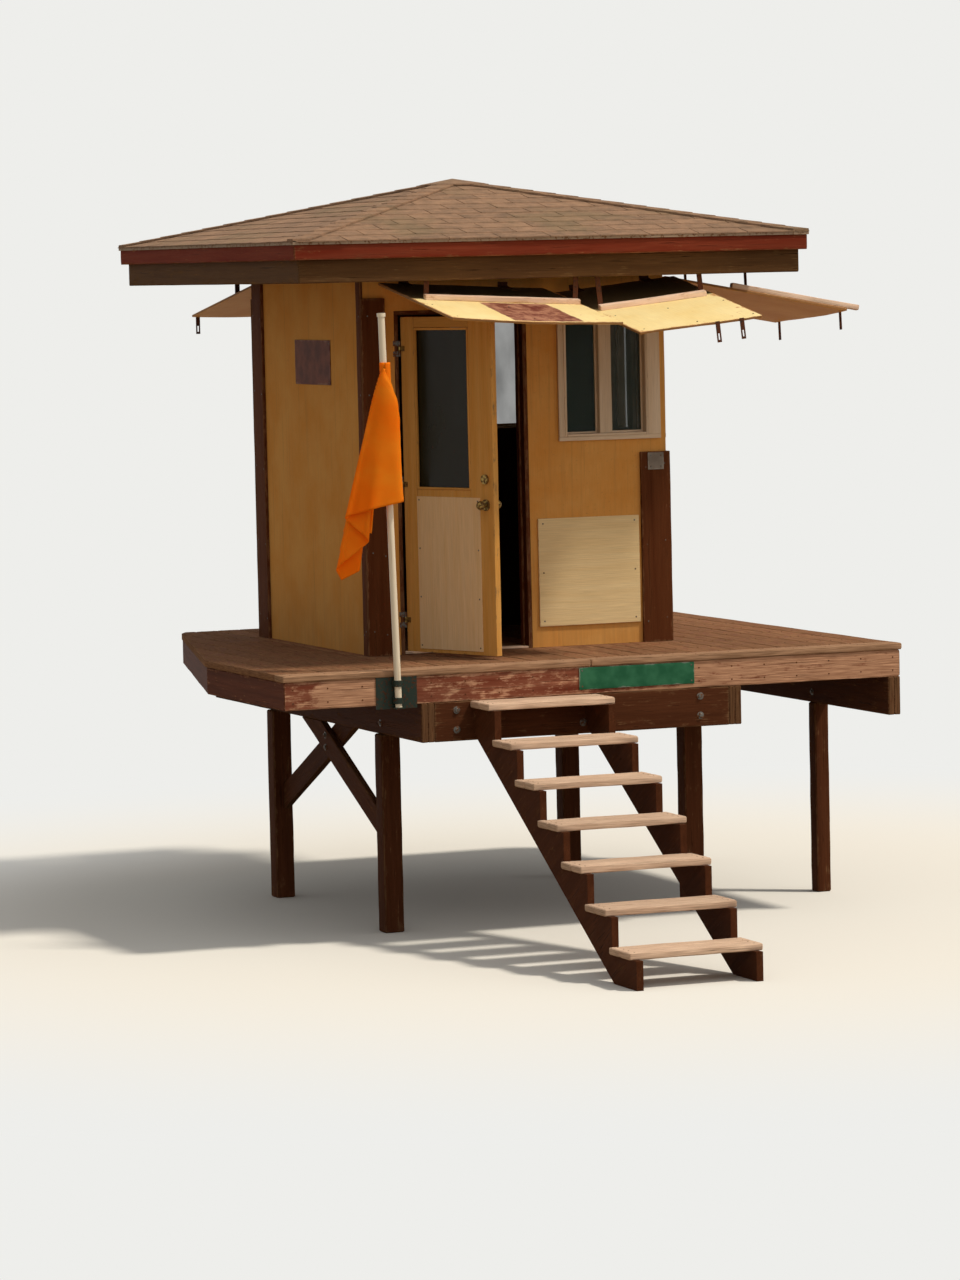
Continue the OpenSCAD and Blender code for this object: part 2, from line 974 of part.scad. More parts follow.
module eave_sides() {
    color(weathered) ring_pair(hut / 2 + eave_out, plank_t, eave_z, eave_h, 90);
}

module fascia_front_back() {
    color(worn_red) ring_pair(roof_half, fascia_t, fascia_top - fascia_h, fascia_h, 0);
}

module fascia_sides() {
    color(worn_red) ring_pair(roof_half, fascia_t, fascia_top - fascia_h, fascia_h, 90);
}

// A gable along Y with a flat skirt under its eaves
module gable(half, height, skirt) {
    rotate([90, 0, 0])
        linear_extrude(2 * half, center = true)
            polygon([[-half, -skirt], [half, -skirt], [half, 0], [0, height], [-half, 0]]);
}

// Four slopes that meet in a point: the common part of two crossed gables
module hip(half, height, skirt) {
    intersection() {
        gable(half, height, skirt);
        rotate([0, 0, 90]) gable(half, height, skirt);
    }
}

module roof() {
    half = roof_half + drip;
    height = half * slope;
    color(weathered)
        translate([hut / 2, hut / 2, fascia_top - drip * slope])
            difference() {
                translate([0, 0, roof_t]) hip(half, height, roof_t);
                hip(half, height, eps);
            }
}

// Pale panel under the front window
module kick_panel() {
    panel_gap = 15;
    color(cream)
        block(hut - trim_low_w - panel_gap - panel_w, -panel_t, panel_z,
            panel_w, panel_t, panel_h);
}

// Bare plates: one on the left wall, one on the front rim and one on the low trim board
module plates() {
    side_z = wall_h - side_plate_drop - side_plate_h;
    rim_gap = 4;
    corner_gap = 5;
    corner_in = 25;
    color("#7a4436") block(-plate_t, side_plate_y, side_z, plate_t, side_plate_w, side_plate_h);
    color("#2f6b52")
        block(rim_plate_x, rim_y - plate_t, joist_top - rim_plate_h - rim_gap,
            rim_plate_w, plate_t, rim_plate_h);
    color("#8f8f8a")
        block(hut - corner_in - corner_plate_w, -trim_t - plate_t,
            trim_low_h - corner_plate_w - corner_gap, corner_plate_w, plate_t, corner_plate_w);
}

// Flag pole in a clamp bracket on the front rim
pole_x = -pole_out;
pole_gap = 16;
pole_drop = 165;
pole_y = rim_y - pole_gap - pole_d / 2;
pole_foot = joist_top - pole_drop;
flag_top_gap = 230;

module pole_frame() {
    translate([pole_x, pole_y, pole_foot]) rotate([0, -pole_lean, 0]) children();
}

module flag_pole() {
    cap_r = 24;
    cap_h = 20;
    color(offwhite)
        pole_frame() {
            cylinder(d = pole_d, h = pole_l);
            translate([0, 0, pole_l]) cylinder(r = cap_r, h = cap_h);
        }
}

module flag_bracket() {
    back_w = 240;
    back_h = 175;
    back_t = 6;
    shelf_t = 8;
    band_t = 7;
    clamp_r = pole_d / 2 + band_t;
    clamp_h = 34;
    clamp_levels = [20, 115];
    bore_r = pole_d / 2 + fit;
    plate_back = pole_y - rim_y;
    color("#2c3a33")
        difference() {
            union() {
                block(pole_x - back_w / 2, rim_y - back_t, joist_top - back_h,
                    back_w, back_t, back_h);
                for (z = clamp_levels)
                    pole_frame()
                        translate([0, 0, z]) {
                            cylinder(r = clamp_r, h = clamp_h);
                            block(-clamp_r, 0, 0, 2 * clamp_r, -plate_back - back_t / 2, clamp_h);
                        }
                pole_frame()
                    block(-clamp_r, -clamp_r, -shelf_t, 2 * clamp_r,
                        clamp_r - plate_back - back_t / 2, shelf_t);
            }
            pole_frame() cylinder(r = bore_r, h = pole_l);
            block(-deck_left, rim_y, pole_foot - 2 * pole_d, 2 * deck_left, pole_d, 4 * pole_l);
        }
}

// The flag hangs limp from the pole: its weight pulls a straight fold from the top corner
// to the far lower corner, and the lower edge hangs in a slack curve back to the pole
module flag() {
    top = pole_l - flag_top_gap;
    foot = top - flag_hoist;
    tip = top - norm([flag_hoist, flag_fly]);
    out = pole_d / 2 + fit;
    thick = 30;
    tip_w = flag_spread / 4;
    slack = 0.35;
    steps = 5;
    color("#e2622a")
        pole_frame()
            rotate([90, 0, 0])
                translate([0, 0, -thick / 2])
                    linear_extrude(thick)
                        polygon(concat(
                            [[-out, top], [-out - flag_spread, tip + tip_w],
                                [-out - flag_spread + tip_w, tip]],
                            [for (k = [1:steps])
                                let (t = k / steps)
                                [(t - 1) * (flag_spread - tip_w) - out,
                                    tip + (foot - tip) * (t - slack * sin(180 * t))]]
                        ));
}

place() deck();
place() rim_front();
place() rim_back();
place() rim_sides();
place() rim_corners();
place() joists();
place() girders();
place() front_beam();
place() legs();
place() leg_braces();
place() stringers();
place() treads();
place() left_wall();
place() back_wall();
place() right_wall();
place() front_wall_left();
place() front_wall_right();
place() door_header();
place() corner_trims();
place() door_jambs();
place() door_head();
place() door_threshold();
place() door_hinges();
place() door_leaf();
place() door_glass();
place() door_panel();
place() door_hardware();
place() window_frames();
place() window_glass();
place() shutter_door();
place() shutter_window();
place() shutter_right();
place() shutter_back_left();
place() shutter_back_right();
place() shutter_irons();
place() ceiling();
place() eave_front_back();
place() eave_sides();
place() fascia_front_back();
place() fascia_sides();
place() roof();
place() kick_panel();
place() plates();
place() flag_pole();
place() flag_bracket();
place() flag();
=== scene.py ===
import math

import bpy
import numpy as np
from mathutils import Matrix, Vector


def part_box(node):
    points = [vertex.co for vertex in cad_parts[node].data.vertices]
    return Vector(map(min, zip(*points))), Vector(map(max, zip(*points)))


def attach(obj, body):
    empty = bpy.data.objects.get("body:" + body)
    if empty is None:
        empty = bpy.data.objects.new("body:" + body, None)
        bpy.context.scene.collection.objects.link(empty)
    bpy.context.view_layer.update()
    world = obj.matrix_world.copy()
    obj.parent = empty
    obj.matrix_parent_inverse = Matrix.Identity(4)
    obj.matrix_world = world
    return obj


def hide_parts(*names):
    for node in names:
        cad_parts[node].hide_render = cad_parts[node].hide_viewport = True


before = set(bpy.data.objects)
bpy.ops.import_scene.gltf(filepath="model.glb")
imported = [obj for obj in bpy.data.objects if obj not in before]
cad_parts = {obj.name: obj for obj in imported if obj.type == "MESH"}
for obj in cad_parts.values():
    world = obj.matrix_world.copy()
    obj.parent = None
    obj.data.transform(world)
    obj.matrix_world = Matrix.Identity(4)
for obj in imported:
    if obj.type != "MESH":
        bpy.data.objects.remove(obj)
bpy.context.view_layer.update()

scene = bpy.context.scene
# Sizes below are in cabin coordinates: from the cabin's front left corner at deck level, with X
# along the front wall, Y towards the back and Z up. corner is that point in the part's frame, and
# hut is the side of the square cabin.
corner = np.array(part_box("left_wall")[0])
hut = 1.865


# Camera. It stands where the photograph was taken, about 28 m away at the height of the door's
# head, and leans by the same degree. A long lens lets the tower fill the frame.
def add(name, data):
    """A new object in the scene that shows data."""
    thing = bpy.data.objects.new(name, data)
    scene.collection.objects.link(thing)
    return thing


camera_data = bpy.data.cameras.new("camera")
camera_data.lens = 142.1
camera_data.clip_end = 200
camera = add("camera", camera_data)
stand, aim = Vector((-10.022, -26.620, 3.780)), Vector((0.492, -0.216, 1.647))
camera_lean = math.radians(-1.30)
camera.matrix_world = (
    Matrix.Translation(stand)
    @ (aim - stand).to_track_quat("-Z", "Y").to_matrix().to_4x4()
    @ Matrix.Rotation(camera_lean, 4, "Z")
)
scene.camera = camera
scene.view_settings.view_transform = "Standard"


# Floor and backdrop. A pale studio floor takes the tower's shadow and fades into the backdrop's
# white. Only rays from the camera, gloss and glass see that; the light that the floor throws back
# up is as weak and warm as sand's.
def linear(code):
    """sRGB hex code to linear RGBA: c / 12.92 up to 0.04045, and ((c + 0.055) / 1.055) ^ 2.4 above."""
    c = np.array([int(code[k:k + 2], 16) / 255 for k in (1, 3, 5)])
    c = np.where(c <= 0.04045, c / 12.92, ((c + 0.055) / 1.055) ** 2.4)
    return (*c.tolist(), 1.0)


def put(tree, kind, inputs=None, out=0, **settings):
    """Adds one shader node with its settings, sets or links its inputs, where a hex code stands for
    its colour, and gives back one of its outputs."""
    node = tree.nodes.new("ShaderNode" + kind)
    for name, value in settings.items():
        setattr(node, name, value)
    for key, value in (inputs or {}).items():
        if isinstance(value, bpy.types.NodeSocket):
            tree.links.new(value, node.inputs[key])
        else:
            node.inputs[key].default_value = linear(value) if isinstance(value, str) else value
    return node.outputs[out] if node.outputs else None


def blank(name, family=bpy.data.materials):
    """A new material or world, and its node tree with nothing in it."""
    block = family.new(name)
    block.use_nodes = True
    block.node_tree.nodes.clear()
    return block, block.node_tree


def calc(how, *values):
    """One step of arithmetic. Like the helpers below, it works in the node tree of its first socket."""
    return put(values[0].id_data, "Math", dict(enumerate(values)), operation=how)


def ramp(value, start=0.0, stop=1.0, low=0.0, high=1.0, shape="LINEAR"):
    """low where value is start, high where it is stop, and a straight or smooth change between."""
    return put(value.id_data, "MapRange", {0: value, 1: start, 2: stop, 3: low, 4: high},
               interpolation_type=shape)


def blend(share, first, second):
    """The colour first + share (second - first)."""
    return put(share.id_data, "Mix", {0: share, 6: first, 7: second}, out=2, data_type="RGBA")


def seen_ray(tree):
    """1 for a ray from the camera, a gloss or a glass, and 0 for a ray that lights the tower."""
    total = put(tree, "LightPath", out="Is Camera Ray")
    for kind in ("Is Glossy Ray", "Is Transmission Ray"):
        total = calc("MAXIMUM", total, put(tree, "LightPath", out=kind))
    return total


backdrop = "#eeeeeb"
world, sky = blank("studio", bpy.data.worlds)
shown = put(sky, "Background", {"Color": backdrop, "Strength": 1.0})
fill = put(sky, "Background", {"Color": "#f2efe8", "Strength": 0.34})
mixed = put(sky, "MixShader", {0: seen_ray(sky), 1: fill, 2: shown})
put(sky, "OutputWorld", {"Surface": mixed})
scene.world = world

floor_reach = 60.0
square = np.array([(-1, -1), (1, -1), (1, 1), (-1, 1)])
floor_mesh = bpy.data.meshes.new("floor")
floor_mesh.from_pydata([(*point, -0.001) for point in (square * floor_reach).tolist()], [], [(0, 1, 2, 3)])
floor = add("floor", floor_mesh)
floor_paint, tree = blank("matt studio floor")
place = put(tree, "TexCoord", out="Object")
middle = put(tree, "Mapping", {"Vector": place, "Location": (-1.5, -0.5, 0)})
away = put(tree, "VectorMath", {0: middle}, out="Value", operation="LENGTH")
seen = seen_ray(tree)
fade = calc("MULTIPLY", ramp(away, 3.0, 8.0, shape="SMOOTHSTEP"), seen)
matt = put(tree, "BsdfDiffuse", {"Color": blend(seen, "#94836c", "#f0f0ed")})
white = put(tree, "Emission", {"Color": backdrop, "Strength": 1.0})
both = put(tree, "MixShader", {0: fade, 1: matt, 2: white})
put(tree, "OutputMaterial", {"Surface": both})
floor_mesh.materials.append(floor_paint)

# Light. The sun stands high at the front right, as it did that day, so that the shutters shade the
# front wall and the deck before the door. A very broad lamp is the bright sky at the front.
for name, energy, spread, tint, way in (("key", 2.35, 6, "#fff3e0", (0.50, -0.36, 1.00)),
                                        ("glow", 0.75, 110, "#fff8f0", (0.35, -0.85, 0.60))):
    lamp_data = bpy.data.lights.new(name, "SUN")
    lamp_data.energy = energy
    lamp_data.angle = math.radians(spread)
    lamp_data.color = linear(tint)[:3]
    lamp = add(name, lamp_data)
    lamp.rotation_mode = "QUATERNION"
    lamp.rotation_quaternion = Vector(way).to_track_quat("Z", "Y")


# Deck. Pine boards run from front to back over the joists behind a border board along the front
# edge, once coated red-brown and now walked down to brown wood; two nails hold each at every joist.
def skin(rings, around):
    """Faces of a closed tube of rings of around points each: quads (i, j), (i, j+1), (i+1, j+1),
    (i+1, j), then the two end polygons. Gives the vertex of each face corner and the faces' sizes."""
    i, j = np.meshgrid(np.arange(rings - 1), np.arange(around), indexing="ij")
    n = (j + 1) % around
    quads = np.stack([i * around + j, i * around + n, (i + 1) * around + n, (i + 1) * around + j], -1)
    ends = np.arange(around)
    loops = np.concatenate([quads.ravel(), ends[::-1], (rings - 1) * around + ends])
    return loops, np.concatenate([np.full((rings - 1) * around, 4), [around, around]])


# A strip arris_w wide along arrises and ends has points of its own, and from an arris or an end the
# wear falls by a factor of e in arris_wear or end_wear
arris_w, arris_wear, end_wear = 0.014, 0.006, 0.010


def section(width, thick, edge):
    """Points round a board's section, anticlockwise from its first corner, the wear of each, and the
    distance round to each. A corner is a round of radius edge. Wear is exp(-d / 6 mm) at a
    distance d from the nearest arris."""
    corners = np.array([[0, 0], [width, 0], [width, thick], [0, thick]], float)
    rows = []
    for k in range(4):
        start, end = corners[k], corners[(k + 1) % 4]
        length = np.abs(end - start).sum()
        near = min(arris_w, length / 3)
        wide = np.array([edge, near, length / 2, length - near, length - edge])
        stops = wide if length > 0.04 else wide[[0, 4]]
        step = (end - start) / length
        turn = np.array([-step[1], step[0]])
        arc = end + (turn - step) * edge * (1 - math.sqrt(0.5))
        wear = np.exp(-np.minimum(stops, length - stops) / arris_wear)
        rows.append(np.column_stack([np.vstack([start + stops[:, None] * step, arc]), np.append(wear, 1)]))
    table = np.vstack(rows)
    hop = np.linalg.norm(np.diff(np.vstack([table, table[:1]])[:, :2], axis=0), axis=1)
    return table[:, :2], table[:, 2], np.concatenate([[0], np.cumsum(hop)])


def plank(place, size, seed, edge=0.003, rough=0.0015, step=0.25, finish=0):
    """One board: the rounded section carried along its length. place(u, v, w) maps 0..1 along it and
    metres across and through it to a point. Each arris is cut back by rough times a slow sine
    along the board, and both ends are chamfered by edge."""
    length, width, thick = size
    rng = np.random.default_rng(seed)
    profile, wear, around = section(width, thick, edge)
    inner = np.linspace(arris_w, length - arris_w, max(2, round(length / step)))
    stops = np.concatenate([[0, edge], inner, [length - edge, length]])
    m, k = len(stops), len(profile)
    inset = np.where((stops == 0) | (stops == length), edge, 0.0)
    half = np.array([width, thick]) / 2
    span = profile - half
    wander = 0.5 + 0.5 * np.sin(stops[:, None] * rng.uniform(5, 30, k) + rng.uniform(0, 6.3, k))
    cut = (rough * wear * wander)[..., None] * np.sign(span)
    flat = half + span * (1 - inset[:, None, None] / half) - cut
    co = place(stops[:, None] / length, flat[..., 0], flat[..., 1])
    probe = np.array([[0, 0, 0], [1, 0, 0], [0, 1, 0], [0, 0, 1]]) * [0.01, width / 9, thick / 9]
    p = place(0.5 + probe[:, :1], half[0] + probe[:, 1:2], half[1] + probe[:, 2:])[:, 0]
    inside_out = np.linalg.det(p[1:] - p[0]) < 0
    loops, sizes = skin(m, k)
    shift = rng.uniform(0, 40, 2)
    i, j = np.meshgrid(np.arange(m - 1), np.arange(k), indexing="ij")
    x = np.stack([stops[i], stops[i], stops[i + 1], stops[i + 1]], -1) + shift[0]
    y = np.stack([around[j], around[j + 1], around[j + 1], around[j]], -1) + shift[1]
    side = np.stack([x, y, 0 * x], -1).reshape(-1, 3)
    cap = np.column_stack([profile + shift, np.ones(k)])
    grain = np.concatenate([side, cap[::-1], cap])
    if inside_out:
        order = np.concatenate([np.arange(len(side)).reshape(-1, 4)[:, ::-1].ravel(),
                                len(side) + np.arange(k)[::-1], len(side) + k + np.arange(k)[::-1]])
        loops, grain = loops[order], grain[order]
    near_end = np.exp(-np.minimum(stops, length - stops) / end_wear)[:, None]
    spot = np.stack([np.broadcast_to(stops[:, None], flat.shape[:2]), flat[..., 0], flat[..., 1]], -1)
    return {"co": co.reshape(-1, 3), "loops": loops, "sizes": sizes, "grain": grain, "finish": finish,
            "wear": np.maximum(wear, near_end).ravel(), "spot": spot.reshape(-1, 3),
            "tone": np.full(m * k, rng.uniform())}


def board(low, high, axis, seed, move=None, **shape):
    """A straight board that fills the box from low to high in cabin coordinates, with its fibres
    along axis and its wider side across. move takes its points on, where the box is turned."""
    low, high = np.array(low, float), np.array(high, float)
    size = high - low
    order = [axis, *sorted({0, 1, 2} - {axis}, key=lambda a: -size[a])]
    ways = np.eye(3)[order]

    def place(u, v, w):
        p = low + (u * size[axis])[..., None] * ways[0] + v[..., None] * ways[1] + w[..., None] * ways[2]
        return corner + (move(p) if move else p)
    return plank(place, size[order], seed, **shape)


def turned(radii, heights, sides):
    """A small turned shape on the Z axis: the profile radii, heights, swept round in sides steps."""
    angle = np.arange(sides) * 2 * np.pi / sides
    r, z = np.array(radii)[:, None], np.array(heights)[:, None]
    co = np.stack([r * np.cos(angle), r * np.sin(angle), z + 0 * angle], -1).reshape(-1, 3)
    loops, sizes = skin(len(radii), sides)
    return {"co": co, "loops": loops, "sizes": sizes}


def repeat(shape, spots, aims, finish=1, seed=1):
    """Copies of a small shape as one part: its origin on each spot, which is in cabin coordinates,
    and its Z turned along each aim."""
    spots = corner + np.array(spots, float)
    aims = np.broadcast_to(np.array(aims, float), spots.shape)
    z = aims / np.linalg.norm(aims, axis=1, keepdims=True)
    helper = np.where(np.abs(z[:, 2:]) > 0.9, [[1.0, 0, 0]], [[0, 0, 1.0]])
    x = np.cross(helper, z)
    x /= np.linalg.norm(x, axis=1, keepdims=True)
    co = spots[:, None] + np.einsum("pk,nkc->npc", shape["co"], np.stack([x, np.cross(z, x), z], 1))
    count, size = len(spots), len(shape["co"])
    loops = (shape["loops"] + np.arange(count)[:, None] * size).ravel()
    tone = np.random.default_rng(seed).uniform(size=count)
    local = np.tile(shape["co"], (count, 1))
    return {"co": co.reshape(-1, 3), "loops": loops, "sizes": np.tile(shape["sizes"], count),
            "grain": local[loops], "wear": np.ones(count * size), "spot": local,
            "tone": np.repeat(tone, size), "finish": finish}


def settle(thing, body, slot, *nodes):
    """Says which body a piece moves with and what it replaces; slot is not used."""
    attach(thing, body)
    if nodes:
        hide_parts(*nodes)


def piece(name, parts, finishes, slot, *nodes, body="tower"):
    """One settled mesh object of several parts. A part is a dict of arrays: points, the vertex of each
    face corner, face sizes, and the values that the finishes read, with the number of its finish."""
    first = np.cumsum([0] + [len(p["co"]) for p in parts])
    sizes = np.concatenate([p["sizes"] for p in parts])
    mesh = bpy.data.meshes.new(name)
    loops = np.concatenate([p["loops"] + n for p, n in zip(parts, first)])
    mesh.vertices.add(first[-1])
    mesh.loops.add(len(loops))
    mesh.polygons.add(len(sizes))
    mesh.vertices.foreach_set("co", np.concatenate([p["co"] for p in parts]).ravel())
    mesh.loops.foreach_set("vertex_index", loops.astype(np.int32))
    mesh.polygons.foreach_set("loop_start", (np.cumsum(sizes) - sizes).astype(np.int32))
    number = np.concatenate([np.full(len(p["sizes"]), p["finish"]) for p in parts])
    mesh.polygons.foreach_set("material_index", number.astype(np.int32))
    for key, kind, domain, field in (("grain", "FLOAT_VECTOR", "CORNER", "vector"),
                                     ("spot", "FLOAT_VECTOR", "POINT", "vector"),
                                     ("wear", "FLOAT", "POINT", "value"),
                                     ("tone", "FLOAT", "POINT", "value")):
        values = np.concatenate([p[key] for p in parts]).astype(np.float32)
        mesh.attributes.new(key, kind, domain).data.foreach_set(field, values.ravel())
    for finish in finishes:
        mesh.materials.append(finish)
    mesh.update(calc_edges=True)
    mesh.validate()
    mesh.shade_smooth()
    mesh.set_sharp_from_angle(angle=math.radians(32))
    settle(add(name, mesh), body, slot, *nodes)


def read(tree, name, out="Fac"):
    """A value that the mesh carries."""
    return put(tree, "Attribute", out=out, attribute_name=name)


def noise(point, scale, detail, roughness=0.5):
    """Noise over a point, with one scale or a scale for each axis."""
    if isinstance(scale, tuple):
        point, scale = put(point.id_data, "Mapping", {"Vector": point, "Scale": scale}), 1.0
    return put(point.id_data, "TexNoise",
               {"Vector": point, "Scale": scale, "Detail": detail, "Roughness": roughness}, out="Fac")


def shade(value, colour):
    """A colour made darker or lighter by the factor value."""
    return put(value.id_data, "HueSaturation", {"Value": value, "Color": colour}, out="Color")


def bumps(height, strength, depth):
    """Normals bent by a height."""
    return put(height.id_data, "Bump", {"Height": height, "Strength": strength, "Distance": depth},
               out="Normal")


def gloss_coat(tree, colour, roughness, shine=0.5, **more):
    """A Principled shader. shine is its Specular IOR Level."""
    inputs = {"Base Color": colour, "Roughness": roughness, "Specular IOR Level": shine, **more}
    return put(tree, "BsdfPrincipled", inputs, out="BSDF")


def close(tree, *values, **more):
    """Ends a finish with one Principled shader."""
    put(tree, "OutputMaterial", {"Surface": gloss_coat(tree, *values, **more)})


def timber(name, coat, faded, bare, grey, worn, gloss=0.6, turn=None, checks=1.0):
    """Sawn softwood under a weathered coat. coat and faded are the paint's two ends, bare and grey the
    wood's, and worn is the share of the face where the coat is gone. Fibres are 6 mm wide streaks,
    growth bands 40 mm, lost patches 50 by 110 mm, and checks is how deep the hairlines along the
    board are. turn rotates object space so that X runs with the fibres, on a part without grain."""
    finish, tree = blank(name)
    if turn is None:
        grain = read(tree, "grain", "Vector")
    else:
        here = put(tree, "TexCoord", out="Object")
        grain = put(tree, "Mapping", {"Vector": here, "Rotation": turn})
    fibre = noise(grain, (6, 160, 90), 5, 0.55)
    band = noise(grain, (1.4, 25, 14), 3, 0.55)
    patch = noise(grain, (9, 21, 14), 6, 0.7)
    check = noise(grain, (1.1, 70, 40), 2, 0.55)
    near = calc("ABSOLUTE", calc("SUBTRACT", check, 0.5))
    crack = calc("MULTIPLY", ramp(near, 0.004, 0.016, 1.0, 0.0), ramp(band, 0.52, 0.62))
    rub = calc("MULTIPLY_ADD", read(tree, "wear"), 0.30, patch)
    rub = calc("MULTIPLY_ADD", fibre, 0.35, rub)
    start = 0.93 - 0.52 * worn
    lost = ramp(rub, start - 0.07, start + 0.10, shape="SMOOTHSTEP")
    paint = blend(ramp(band, 0.3, 0.7), coat, faded)
    wood = blend(ramp(fibre, 0.3, 0.7), grey, bare)
    each = ramp(read(tree, "tone"), low=0.84, high=1.12)
    light = calc("MULTIPLY", each, ramp(fibre, 0.25, 0.75, 0.88, 1.10))
    light = calc("MULTIPLY", light, ramp(crack, low=1.0, high=1 - 0.65 * checks))
    colour = shade(light, blend(lost, paint, wood))
    high = calc("MULTIPLY_ADD", lost, -0.5, fibre)
    high = calc("MULTIPLY_ADD", crack, -1.6 * checks, high)
    close(tree, colour, ramp(lost, low=gloss, high=0.9), 0.02, Normal=bumps(high, 0.55, 0.002))
    return finish


def rust_iron(name, clean, rust, rusty, gloss=0.5, metal=0.6):
    """Plain steel that has stood by the sea: clean metal with rust blooms 15 mm across where a noise
    passes the share rusty, rougher and no longer metallic there."""
    finish, tree = blank(name)
    here = put(tree, "TexCoord", out="Object")
    bloom = noise(here, 65.0, 6.0)
    start = 0.72 - 0.44 * rusty
    red = ramp(bloom, start - 0.04, start + 0.06)
    fleck = ramp(noise(here, 240.0, 3.0), 0.3, 0.7, 0.7, 1.25)
    colour = blend(red, clean, shade(fleck, rust))
    close(tree, colour, ramp(red, low=gloss, high=0.9), 0.2,
          Metallic=ramp(red, low=metal, high=0.0), Normal=bumps(bloom, 0.4, 0.001))
    return finish


# Walked pine: the coat is left in the hollows, and the wood is brown and matt
walked_pine = timber("walked pine deck", "#703f2c", "#875a42", "#9c7456", "#74553f", 0.62)
edge_pine = timber("bleached pine deck edge", "#7c4a36", "#987054", "#bd977a", "#8c6c52", 0.80)
nail_rust = rust_iron("rusted nail heads", "#4a3a30", "#633a22", 0.8)

deck_t, board_gap, border_w = 0.038, 0.005, 0.140
deck_left, deck_right, deck_front = -0.900, 2.870, -1.020
# The back edge: along the cut corner, then level
back_x, back_y = [-0.900, -0.300, 2.870], [0.300, 2.540, 2.540]
deck_boards = 27
board_pitch = (deck_right - deck_left) / deck_boards
border_back = deck_front + border_w
rng = np.random.default_rng(7)
ragged = rng.uniform(0, 0.007, deck_boards)
lift = rng.uniform(-0.0012, 0, deck_boards)
parts = []
for k in range(deck_boards):
    left = deck_left + k * board_pitch + board_gap / 2

    def place(u, v, w):
        x = left + v
        y0 = border_back + board_gap
        y1 = np.interp(x, back_x, back_y) - ragged[k]
        return corner + np.stack([x, y0 + u * (y1 - y0), w - deck_t + lift[k] + 0 * u], -1)
    parts.append(plank(place, (3.4, board_pitch - board_gap, deck_t), 100 + k, 0.003, 0.002, 0.2))
border_joint = 0.931
for k, (x0, x1) in enumerate([(deck_left, border_joint), (border_joint + 0.003, deck_right)]):
    parts.append(board((x0, deck_front, -deck_t), (x1, border_back, 0), 0, 130 + k,
                       edge=0.005, rough=0.004, step=0.1, finish=2))
nail = turned([0.0046, 0.0046, 0.003], [-0.001, 0.0008, 0.0014], 8)
joist_pitch, rim_row, nail_off, jitter = 0.406, 2.511, 0.042, 0.006
joist_y = -0.585 + joist_pitch * np.arange(8)
rows = np.concatenate([[border_back + 0.013], joist_y, [rim_row]])
x, y = np.meshgrid(deck_left + (np.arange(deck_boards) + 0.5) * board_pitch, rows, indexing="ij")
x = np.stack([x - nail_off, x + nail_off], -1) + rng.uniform(-jitter, jitter, (*x.shape, 2))
y = y[..., None] + rng.uniform(-jitter, jitter, x.shape)
covered = (x > -0.02) & (x < hut + 0.02) & (y > -0.02) & (y < hut + 0.02)
keep = (y < np.interp(x, back_x, back_y) - 0.012) & ~covered
spots = np.stack([x[keep], y[keep], 0 * x[keep] - 0.0006], -1)
border_x, border_y = np.arange(deck_left + 0.05, deck_right, joist_pitch / 2), (-0.991, border_back - 0.010)
spots = np.vstack([spots, [[x, y, -0.0003] for x in border_x for y in border_y]])
piece("deck_boards", parts + [repeat(nail, spots, (0, 0, 1))], (walked_pine, nail_rust, edge_pine),
      "deck_boards", "deck")


# Rim boards. Five painted planks close the joists' ends right round the deck, mitred at the
# corners; the front one has lost much of its red paint to sun and feet.
def inset(points, d):
    """A convex outline moved inwards by d: each corner shifts by d (n1 + n2) / (1 + n1 . n2)."""
    p = np.array(points, float)
    edge = np.roll(p, -1, axis=0) - p
    edge /= np.linalg.norm(edge, axis=1, keepdims=True)
    n2 = np.stack([-edge[:, 1], edge[:, 0]], -1)
    n1 = np.roll(n2, 1, axis=0)
    return p + d * (n1 + n2) / (1 + (n1 * n2).sum(1, keepdims=True))


def mitred(outer, inner, low, high, seed, **shape):
    """A board on edge with mitred ends: outer and inner are the plan points of its two faces."""
    outer, inner = np.array(outer, float), np.array(inner, float)
    length = np.linalg.norm(outer[1] - outer[0])
    line = (outer[1] - outer[0]) / length
    thick = np.linalg.norm((inner[0] - outer[0]) - line * ((inner[0] - outer[0]) @ line))

    def place(u, v, w):
        t = (w / thick)[..., None]
        u = u[..., None]
        plan = (1 - t) * (outer[0] + u * (outer[1] - outer[0])) + t * (inner[0] + u * (inner[1] - inner[0]))
        return corner + np.concatenate([plan, low + v[..., None]], -1)
    return plank(place, (length, high - low, thick), seed, **shape)


# Red-brown exterior paint, chalked to pink, over pine that shows along the arrises. The four boards
# that see less sun have kept a darker coat.
chalked_red = timber("chalked red-brown paint on pine", "#6a3526", "#8f5b47", "#cda183", "#966c53", 0.40)
kept_red = timber("darker red-brown paint on pine", "#4c281a", "#683c2b", "#a87c60", "#76543f", 0.34)
outline = [[-0.900, -1.020], [2.870, -1.020], [2.870, 2.540], [-0.300, 2.540], [-0.900, 0.300]]
overhang, plank_t, rim_h = 0.010, 0.038, 0.155
rim_top = -deck_t
outer, inner = inset(outline, overhang), inset(outline, overhang + plank_t)
# The front board is worn bare at its left end, keeps its paint by the stairs, and fades to the right
rub_x = [-0.90, -0.72, -0.66, -0.36, -0.26, 0.10, 1.20, 1.60, 2.87]
rub = [-0.10, -0.10, 0.85, 0.85, -0.25, -0.05, 0.00, 0.55, 0.70]
parts = []
for k in range(5):
    ends = [k, (k + 1) % 5]
    part = mitred(outer[ends], inner[ends], rim_top - rim_h, rim_top, 200 + k, edge=0.004, rough=0.003,
                  step=0.2 if k else 0.06, finish=2 if k else 0)
    part["wear"] = part["wear"] * 0.6 + (-0.3 if k else np.interp((part["co"] - corner)[:, 0], rub_x, rub))
    parts.append(part)
